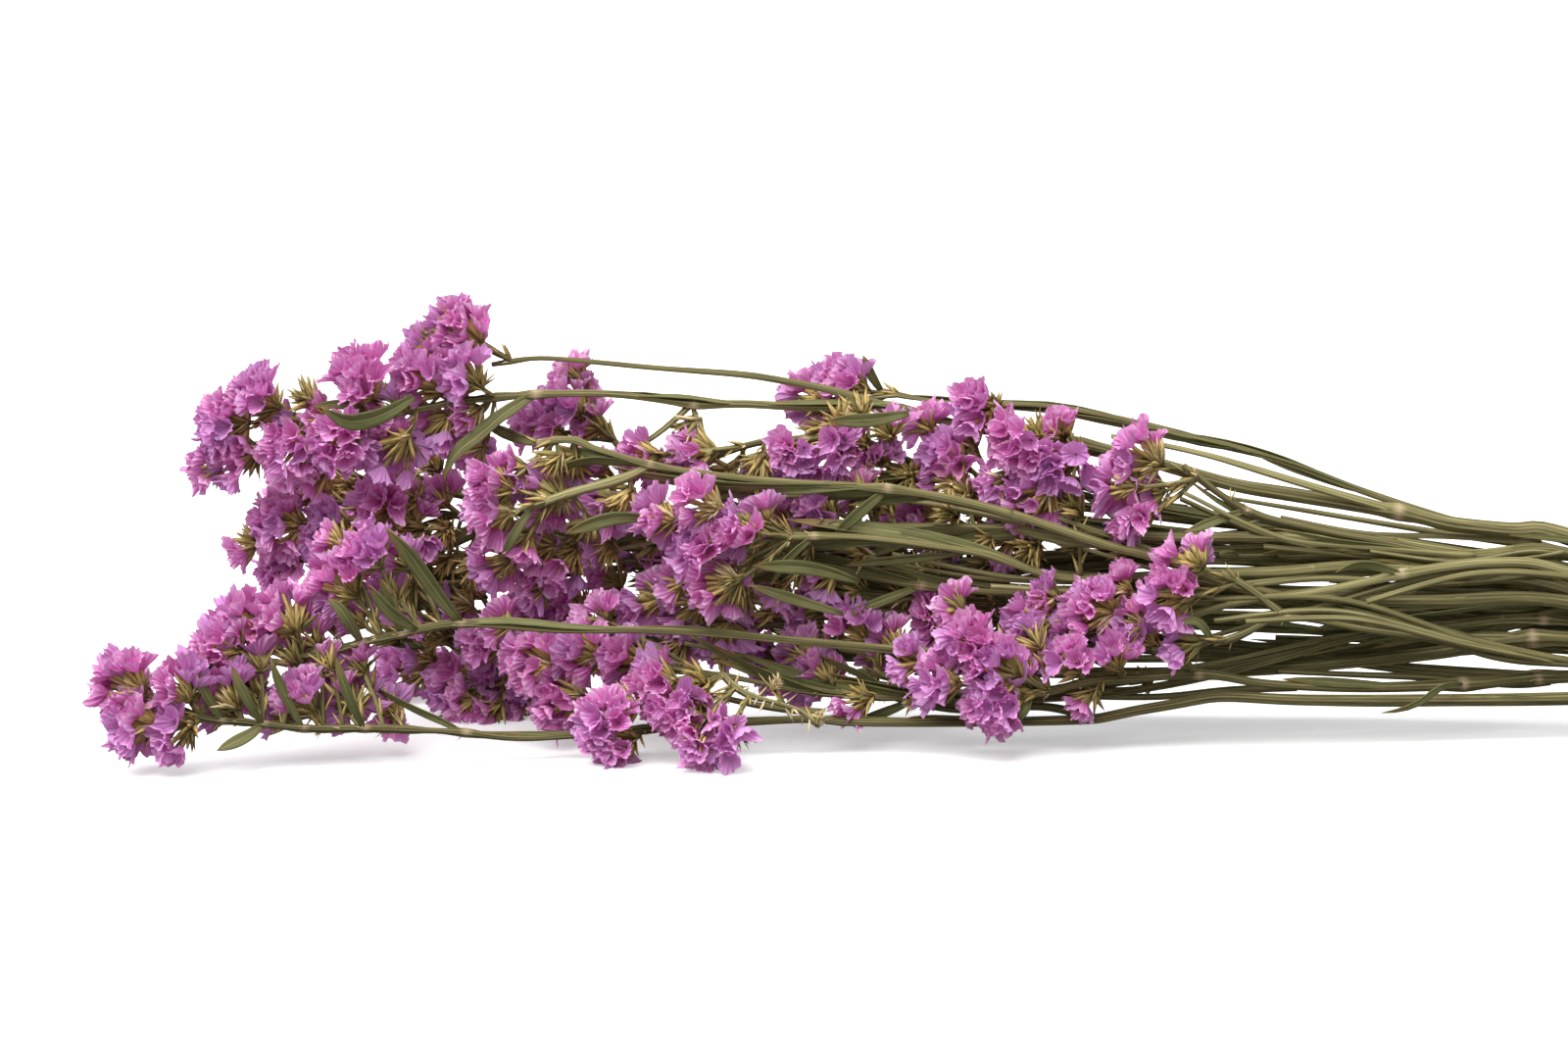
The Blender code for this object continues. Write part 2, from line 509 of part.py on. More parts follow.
def bract_twig(foot, top, axis, rng, share=1.0):
    """A twig that ends in three pointed bracts flaring round the foot of a cluster."""
    side = np.cross(axis, (0.2, 0.3, 0.93))
    side /= np.linalg.norm(side)
    face = np.cross(axis, side)
    start = rng.uniform(0, 6.28)
    ways = [side * math.cos(start + k * math.pi / BRACTS) + face * math.sin(start + k * math.pi / BRACTS)
            for k in range(2 * BRACTS)]
    run = (top - foot) / np.linalg.norm(top - foot)
    around = [way - run * (way @ run) for way in ways[::2]]
    around = [way / np.linalg.norm(way) * TWIG_WIDTH / 2 for way in around]
    neck = top - axis * BRACT_NECK
    bm = bmesh.new()
    low = [bm.verts.new(foot + way) for way in around]
    mid = [bm.verts.new(neck + way) for way in around]
    star = []
    for k, way in enumerate(ways):
        if k % 2:
            star.append(bm.verts.new(top - axis * 0.9 + way * 1.1))
        else:
            long = BRACT_LONG * share * rng.uniform(0.75, 1.1)
            star.append(bm.verts.new(neck + axis * long * 0.42 + way * long * 0.9))
    end = bm.verts.new(top)
    bm.faces.new(low[::-1])
    for k in range(BRACTS):
        n = (k + 1) % BRACTS
        tip, notch, after = star[2 * k], star[2 * k + 1], star[(2 * k + 2) % (2 * BRACTS)]
        bm.faces.new((low[k], low[n], mid[n], mid[k]))
        bm.faces.new((mid[k], notch, tip))
        bm.faces.new((mid[k], mid[n], notch))
        bm.faces.new((mid[n], after, notch))
        bm.faces.new((end, tip, notch))
        bm.faces.new((end, notch, after))
    return bm


def floret_frame():
    """Directions of twelve florets round a core, each with its five corners, the first pointing up."""
    bm = bmesh.new()
    bmesh.ops.create_icosphere(bm, subdivisions=1, radius=1.0)
    top = max(bm.verts, key=lambda v: v.co.z)
    turn = top.co.rotation_difference(Vector((0, 0, 1)))
    corners = [(turn @ f.calc_center_median()).normalized() for f in bm.faces]
    ways = []
    for vert in bm.verts:
        way = turn @ vert.co.normalized()
        side = way.orthogonal().normalized()
        face = way.cross(side)
        around = sorted((f.index for f in vert.link_faces),
                        key=lambda i: math.atan2(corners[i].dot(face), corners[i].dot(side)))
        ways.append((way, around))
    bm.free()
    ways.sort(key=lambda item: -item[0].z)
    return ways, corners


def floret_parts(middle, core, long, way, corners, rng):
    """The rim and the floor of one floret, and the five places where it leaves the core."""
    base = [middle + c * core for c in corners]
    rim = []
    for corner in corners:
        out = (corner - way * corner.dot(way)).normalized()
        high = long * rng.uniform(0.96, 1.1)
        rim.append(middle + way * high + out * long * FLORET_FLARE * rng.uniform(0.93, 1.06))
    floor = middle + way * long * (1 - FLORET_WELL)
    return base, rim, floor


def floret_test(middle, base, rim, floor):
    """One floret alone, to see whether it finds room."""
    bm = bmesh.new()
    low = [bm.verts.new(p) for p in base]
    high = [bm.verts.new(p) for p in rim]
    well = bm.verts.new(floor)
    bm.faces.new(low[::-1])
    for k in range(5):
        n = (k + 1) % 5
        bm.faces.new((low[k], low[n], high[n], high[k]))
        bm.faces.new((high[k], high[n], well))
    bmesh.ops.triangulate(bm, faces=bm.faces)
    return bm


def cluster_solid(cluster, florets):
    """A small core whose faces open into ruffled funnels where florets stand."""
    bm = bmesh.new()
    ways, corners = cluster["frame"]
    middle, core = Vector(cluster["middle"]), cluster["radius"] * CORE
    ring = [bm.verts.new(middle + c * core) for c in corners]
    for index, (way, around) in enumerate(ways):
        low = [ring[i] for i in around]
        if index not in florets:
            bm.faces.new(low)
            continue
        base, rim, floor = florets[index]
        high = [bm.verts.new(p) for p in rim]
        well = bm.verts.new(floor)
        for k in range(5):
            n = (k + 1) % 5
            bm.faces.new((low[k], low[n], high[n], high[k]))
            bm.faces.new((high[k], high[n], well))
    return bm


def link_solid(start, stop, half):
    """A bar that joins the middles of two clusters of one bloom."""
    line = np.array([start, stop])
    return twig_solid(line, (half, half))


def fuse(name, pieces, look):
    """One closed body from many overlapping solids, with a finish of its own."""
    group = bpy.data.collections.new(name + "_parts")
    bpy.context.scene.collection.children.link(group)
    body = finish_object(name, pieces[0])
    for k, piece in enumerate(pieces[1:]):
        obj = finish_object(f"{name}_piece_{k}", piece)
        bpy.context.scene.collection.objects.unlink(obj)
        group.objects.link(obj)
    if len(pieces) > 1:
        join = body.modifiers.new("join", "BOOLEAN")
        join.operation = "UNION"
        join.operand_type = "COLLECTION"
        join.collection = group
        join.solver = "MANIFOLD"
        apply_all(body)
    for obj in list(group.objects):
        bpy.data.objects.remove(obj, do_unlink=True)
    bpy.data.collections.remove(group)
    trim(body)
    body.data.materials.append(material_of(name + "_finish", *look))
    return body


def apply_all(obj):
    """Turn an object's modifiers into its mesh."""
    graph = bpy.context.evaluated_depsgraph_get()
    mesh = bpy.data.meshes.new_from_object(obj.evaluated_get(graph))
    obj.modifiers.clear()
    obj.data = mesh


def trim(obj):
    """Keep the largest closed piece, fill what is sealed inside it, and cut it flat at the floor."""
    bm = bmesh.new()
    bm.from_mesh(obj.data)
    if min(v.co.z for v in bm.verts) < 0:
        whole = list(bm.verts) + list(bm.edges) + list(bm.faces)
        bmesh.ops.bisect_plane(bm, geom=whole, plane_co=(0, 0, 0), plane_no=(0, 0, -1), clear_outer=True)
        bmesh.ops.holes_fill(bm, edges=[e for e in bm.edges if e.is_boundary])
        bmesh.ops.triangulate(bm, faces=bm.faces)
    bmesh.ops.dissolve_limit(bm, angle_limit=FLAT_ENOUGH, verts=bm.verts, edges=bm.edges)
    bmesh.ops.triangulate(bm, faces=bm.faces)
    shells = []
    left = set(bm.faces)
    while left:
        stack = [left.pop()]
        shell = set(stack)
        while stack:
            face = stack.pop()
            for edge in face.edges:
                for other in edge.link_faces:
                    if other in left:
                        left.remove(other)
                        shell.add(other)
                        stack.append(other)
        shells.append(shell)
    shells.sort(key=len)
    for shell in shells[:-1]:
        bmesh.ops.delete(bm, geom=list(shell), context="FACES")
    bm.to_mesh(obj.data)
    bm.free()


def material_of(name, colour, rough):
    """A plain principled material."""
    material = bpy.data.materials.new(name)
    material.use_nodes = True
    shader = material.node_tree.nodes["Principled BSDF"]
    shader.inputs["Base Color"].default_value = (*colour, 1)
    shader.inputs["Roughness"].default_value = rough
    return material


def swollen(bm, by):
    """A tree of the same solid, its corners moved out by a small distance."""
    copy = bm.copy()
    bmesh.ops.recalc_face_normals(copy, faces=copy.faces)
    copy.normal_update()
    for vert, normal in [(v, v.normal.copy()) for v in copy.verts]:
        vert.co += normal * by * 1.25
    tree = BVHTree.FromBMesh(copy)
    copy.free()
    return tree


def tree_of_object(obj):
    """A search tree of a finished object, in millimetres."""
    verts = [v.co * 1000 for v in obj.data.vertices]
    return BVHTree.FromPolygons(verts, [tuple(p.vertices) for p in obj.data.polygons])


def clear_of(bm, trees):
    """True where a solid keeps the gap from every tree."""
    tree = swollen(bm, GAP)
    return not any(tree.overlap(other) for other in trees)


def seat_clusters(routes, clusters):
    """Give every cluster its foot and its axis, away from its stem and on toward the stem's tip."""
    frame = floret_frame()
    for cluster in clusters:
        stems = [r for r in routes if r.plant == cluster["plant"] and r.kind != "leaf"]
        best = None
        for route in stems:
            away = np.linalg.norm(route.points - cluster["middle"], axis=1)
            near = int(np.argmin(away))
            if best is None or away[near] < best[0]:
                best = (away[near], route, near)
        _, route, near = best
        cluster["route"] = route
        cluster["foot"] = near
        axis = cluster["middle"] - route.points[near]
        ahead = route.points[min(near + 1, len(route.points) - 1)] - route.points[max(near - 1, 0)]
        axis = axis / np.linalg.norm(axis) + FORWARD * ahead / np.linalg.norm(ahead)
        cluster["axis"] = axis / np.linalg.norm(axis)
        cluster["frame"] = turned_frame(frame, cluster["axis"], cluster["number"])


def turned_frame(frame, axis, number):
    """The floret directions turned so that the first points along the axis."""
    roll = Quaternion((0, 0, 1), number * 2.399)
    turn = Vector((0, 0, 1)).rotation_difference(Vector(axis)) @ roll
    ways, corners = frame
    return [(turn @ way, around) for way, around in ways], [turn @ c for c in corners]


def cores_and_links(clusters):
    """Search trees of every bare core and of every bar between two clusters, with the owners."""
    solids = [((c["number"],), core_tree(c)) for c in clusters]
    for first, second in zip(clusters, clusters[1:]):
        if first["bloom"] == second["bloom"]:
            bar = link_solid(first["middle"], second["middle"], LINK)
            solids.append(((first["number"], second["number"]), BVHTree.FromBMesh(bar)))
            bar.free()
    return solids


def free_twig(cluster, solids, rng):
    """A twig with bracts from the stem to the foot of a cluster, clear of all cores and bars."""
    guard = [tree for owners, tree in solids if owners != (cluster["number"],)]
    core = next(tree for owners, tree in solids if owners == (cluster["number"],))
    axis = cluster["axis"]
    top = cluster["middle"] - axis * (cluster["radius"] * CORE * 0.795 + GAP)
    for share in (1.0, 1.0, 0.85, 0.7, 0.55):
        for step in (1, 0, 2, 3):
            foot = max(0, cluster["foot"] - step)
            twig = bract_twig(cluster["route"].points[foot], top, axis, rng, share)
            if clear_of(twig, guard) and not BVHTree.FromBMesh(twig).overlap(core):
                return foot, twig
            twig.free()
    return None


def build_stems(routes, clusters):
    """Every plant's stem, branches, leaves, twigs and bracts as one body."""
    solids = cores_and_links(clusters)
    made = {}
    for number, plant in enumerate(PLANTS):
        rng = random.Random(SEED * 100 + number)
        own = [r for r in routes if r.plant == plant]
        feet = {id(r): [] for r in own}
        for route in own:
            if route.parent is not None:
                feet[id(route.parent)].append(route.joint)
        pieces = []
        for cluster in (c for c in clusters if c["plant"] == plant):
            found = free_twig(cluster, solids, rng)
            cluster["held"] = found is not None
            if found is not None:
                feet[id(cluster["route"])].append(found[0])
                pieces.append(found[1])
        for stem, across, up, back in TUFTS:
            if stem == plant:
                place = at((across, up, back))
                route = min((r for r in own if r.kind != "leaf"),
                            key=lambda r: np.min(np.linalg.norm(r.points - place, axis=1)))
                joint = int(np.argmin(np.linalg.norm(route.points - place, axis=1)))
                axis = place - route.points[joint]
                axis /= np.linalg.norm(axis)
                feet[id(route)].append(joint)
                pieces.append(bract_twig(route.points[joint], route.points[joint] + axis * 6, axis, rng))
        for route in own:
            if route.kind in ("main", "side"):
                picks = rings_at(route, STEM_EVERY, feet[id(route)])
                pieces.insert(0, stem_solid(route, picks, rng.uniform(0.2, 0.9)))
            elif route.kind == "branch":
                picks = rings_at(route, 3, feet[id(route)])
                pieces.append(twig_solid(route.points[picks], route.half[picks]))
            else:
                pieces.append(leaf_solid(route.points, route.wide, rng.uniform(-0.5, 0.5)))
        made[plant] = fuse(plant, pieces, STEM_LOOK)
    return made


def build_blooms(clusters, stems):
    """Every bloom: ruffled florets round small cores, each floret clear of all that stands near."""
    placed = [tree_of_object(obj) for obj in stems.values()]
    cores = {c["number"]: core_tree(c) for c in clusters}
    for number, bloom in enumerate(BLOOMS):
        rng = random.Random(SEED * 1000 + number)
        own = [c for c in clusters if c["bloom"] == bloom]
        last = own[-1]["number"]
        later = [tree for key, tree in cores.items() if key > last]
        pieces = []
        grown = []
        for cluster in own:
            rest = [cores[c["number"]] for c in own if c is not cluster]
            florets, solids = florets_of(cluster, own, placed + later + rest + grown, rng)
            pieces.append(cluster_solid(cluster, florets))
            grown.extend(solids)
        for first, second in zip(own, own[1:]):
            pieces.append(link_solid(first["middle"], second["middle"], LINK))
        placed.append(tree_of_object(fuse(bloom, pieces, CALYX_LOOK)))


def core_tree(cluster):
    """A search tree of a cluster's bare core."""
    bm = cluster_solid(cluster, {})
    tree = swollen(bm, 0)
    bm.free()
    return tree


def florets_of(cluster, own, guard, rng):
    """The florets of one cluster that find room, over a dome round its axis."""
    ways, corners = cluster["frame"]
    middle, core = Vector(cluster["middle"]), cluster["radius"] * CORE
    others = [(Vector(c["middle"]) - middle).normalized() for c in own
              if abs(c["number"] - cluster["number"]) == 1]
    florets, solids = {}, []
    for index, (way, around) in enumerate(ways[:FLORETS]):
        if any(way.dot(other) > 0.80 for other in others):
            continue
        for share in (1.0, 0.88, 0.76, 0.66):
            parts = floret_parts(middle, core, cluster["radius"] * share, way,
                                 [corners[i] for i in around], rng)
            bm = floret_test(middle, *parts)
            if clear_of(bm, guard):
                florets[index] = parts
                solids.append(BVHTree.FromBMesh(bm))
                bm.free()
                break
            bm.free()
    return florets, solids


def tied_points(stems, low, high):
    """Corners of the stems between two places along the bunch, seen from its cut end."""
    spots = []
    for obj in stems.values():
        corners = [v.co * 1000 for v in obj.data.vertices]
        spots.extend((c.y, c.z) for c in corners if low <= c.x <= high)
        for edge in obj.data.edges:
            start, stop = sorted((corners[i] for i in edge.vertices), key=lambda c: c.x)
            for x in (low, high):
                if start.x < x < stop.x:
                    spot = start.lerp(stop, (x - start.x) / (stop.x - start.x))
                    spots.append((spot.y, spot.z))
    return np.array(spots)


def build_tie(stems):
    """A flat band drawn round the stems, with a knot and two short tails."""
    x = TIE_AT - MIDDLE[0]
    spots = tied_points(stems, x - TIE_WIDE / 2, x + TIE_WIDE / 2)
    count = 16
    turns = [2 * math.pi * k / count for k in range(count)]
    ways = [np.array([math.cos(turn), math.sin(turn)]) for turn in turns]

    def outline(extra):
        """Corners of the band: where the lines that touch the stems on each side cross."""
        reach = [np.max(spots @ way) + extra for way in ways]
        return [np.linalg.solve(np.array([ways[k], ways[k - 1]]), (reach[k], reach[k - 1]))
                for k in range(count)]

    inner, outer = outline(GAP), outline(GAP + TIE_THICK)
    bm = bmesh.new()
    rings = []
    for points, offset in ((inner, -0.5), (outer, -0.42), (outer, 0.42), (inner, 0.5)):
        rings.append([bm.verts.new((x + TIE_WIDE * offset, p[0], p[1])) for p in points])
    for low, high in zip(rings, rings[1:] + rings[:1]):
        for k in range(count):
            n = (k + 1) % count
            bm.faces.new((low[k], low[n], high[n], high[k]))
    top = max(outer, key=lambda p: p[1])
    pieces = [bm]
    knot = bmesh.new()
    bmesh.ops.create_icosphere(knot, subdivisions=1, radius=2.6)
    bmesh.ops.translate(knot, vec=(x, top[0], top[1] + 0.9), verts=knot.verts)
    pieces.append(knot)
    for way in (-1, 1):
        start = np.array([x, top[0], top[1] + 1.2])
        path = curve([start, start + (3 * way, -7, 2), start + (7 * way, -15, -3)])
        pieces.append(leaf_solid(path, 3.0, 0.6 * way))
    fuse("tie", pieces, RAFFIA_LOOK)


def main():
    for obj in list(bpy.data.objects):
        bpy.data.objects.remove(obj, do_unlink=True)
    routes, clusters = lay_out()
    for number, cluster in enumerate(clusters):
        cluster["number"] = number
    push_apart(routes, clusters)
    seat_clusters(routes, clusters)
    stems = build_stems(routes, clusters)
    build_tie(stems)
    build_blooms(clusters, stems)


main()
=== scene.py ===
"""A bunch of dried statice lying on its side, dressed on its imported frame: ribbed and winged stems,
pointed leaves, tufts of straw-coloured bracts, heads of ruffled papery calyces and a raffia tie."""
import functools
import json
import math
import random

import bmesh
import bpy
import numpy as np
from bpy.props import FloatProperty, FloatVectorProperty, IntProperty, PointerProperty
from mathutils import Matrix, Quaternion, Vector

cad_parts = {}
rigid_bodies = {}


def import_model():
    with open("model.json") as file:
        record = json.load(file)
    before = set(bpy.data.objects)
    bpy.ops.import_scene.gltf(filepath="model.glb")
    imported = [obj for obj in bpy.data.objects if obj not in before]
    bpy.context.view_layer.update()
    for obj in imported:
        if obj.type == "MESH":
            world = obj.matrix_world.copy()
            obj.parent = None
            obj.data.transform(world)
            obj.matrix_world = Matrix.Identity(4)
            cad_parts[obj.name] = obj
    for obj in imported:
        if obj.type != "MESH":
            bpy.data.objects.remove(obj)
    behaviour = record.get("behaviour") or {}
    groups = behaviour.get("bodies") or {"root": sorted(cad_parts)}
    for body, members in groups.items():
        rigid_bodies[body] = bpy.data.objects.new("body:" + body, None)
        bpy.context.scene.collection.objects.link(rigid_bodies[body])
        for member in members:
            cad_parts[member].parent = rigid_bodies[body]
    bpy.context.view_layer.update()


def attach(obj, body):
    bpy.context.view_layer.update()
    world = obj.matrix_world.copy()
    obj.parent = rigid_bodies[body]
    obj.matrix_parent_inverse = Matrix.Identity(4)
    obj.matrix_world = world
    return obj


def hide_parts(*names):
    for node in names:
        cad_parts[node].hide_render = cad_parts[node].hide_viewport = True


bl_info = {
    "name": "Dried Statice Bunch",
    "version": (1, 0, 0),
    "blender": (4, 5, 0),
    "location": "View3D > Sidebar > Statice",
    "description": "Builds the stems, leaves, bracts, heads and tie of a bunch of dried statice",
    "category": "Add Mesh",
}

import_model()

# The plants, in millimetres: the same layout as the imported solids
STEM_THICK = 0.62          # thickness of a winged stem, as a share of its width
SIDE_WIDTH = 4.0           # width of a long side stem where it leaves the main one
BRANCH_WIDTH = 2.8
TWIG_WIDTH = 1.7
MAIN_TIP = 0.28            # half the width of a main stem's tip, as a share of its width,
SIDE_TIP = 0.3             # and of a side stem's
BRANCH_TIP = 0.4
CLUSTER_SUNK = 0.32        # a cluster's core lies this share of its radius behind its middle
CLUSTER_NEAR = 8.5         # least distance from its stem to its core
FORWARD = 0.6              # how much a cluster leans toward the tip of its stem

# The tie and the cut ends
TIE_AT = 545.0
TIE_HIGH = 25.0
TIE_WIDE = 6.0
STRAND_GAP = 0.5           # how far the middle of a strand stands off the stems
STRAND_CORNERS = 6
STRAND_STEPS = 28          # stations of a turn of raffia
KNOT_STEPS = 32
KNOT_WIDE = 0.95           # the knot reaches up to three times as far as this from its middle
STRAND_THICK = 0.7
KNOT_STRAND = (1.6, 1.0)   # width and thickness of the strand of the knot
TAIL_STRAND = (2.2, 0.5)   # width and thickness of a tail
TIE_PACK = 11.4            # how far the outermost stems stand from the middle of the tie
END_AT = 592.0
END_UNEVEN = 7.0           # how far the longest and the shortest stem end from there
END_HIGH = 15.4
END_PACK = 16.0
FLARE_AT = 571.0           # the stems begin to spread between the tie and their ends
FLARE_HIGH = 21.0
FLARE_PACK = 1.15          # how far they have spread there, as a share of the pack in the tie

# The layout is read from the front, from slightly above: a point further back looks higher,
# and everything draws in toward the line of sight.
LOOK_DOWN = 0.16
EYE = 1300.0               # distance of the eye
SIGHT = (240.0, 66.0)      # the point it looks at, across and up
MIDDLE = (316.48, -4.98)   # the place across and back that becomes x = 0 and y = 0
STEP = 6.0                 # spacing of the points along a stem
ROUNDS = 90                # rounds of pushing neighbours apart
ROUGH_ROUNDS = 12          # the last rounds, in which the lines are smoothed no more
SEARCH_EVERY = 15          # rounds from one search for neighbours to the next
SEARCH_ACROSS = 17.0       # points that lie further apart than this across are not neighbours,
SEARCH_GAP = 8.0           # nor are those with a wider gap than this between them
CLEARANCE = 0.9            # gap that the neighbours should keep
GIVE_WAY = (0.15, 1.0, 0.6)        # how readily neighbours move across, back and up
SIDESTEP = 0.02            # push back or forward that parts points right above each other as well
CLUSTER_FIRM = 0.62        # the part of a cluster that pushes, as a share of its radius
FLOOR_LIFT = 4.2           # the floor lifts no point higher than this
SEED = 11

# The stage, in metres
KEY_FROM = (-0.45, -0.55, 1.25)    # where the high light stands, from the middle of the picture
SKY_TOP = (0.0, -0.35, 0.94)       # the direction in which the sky is brightest
FLOOR_REACH = 12.0

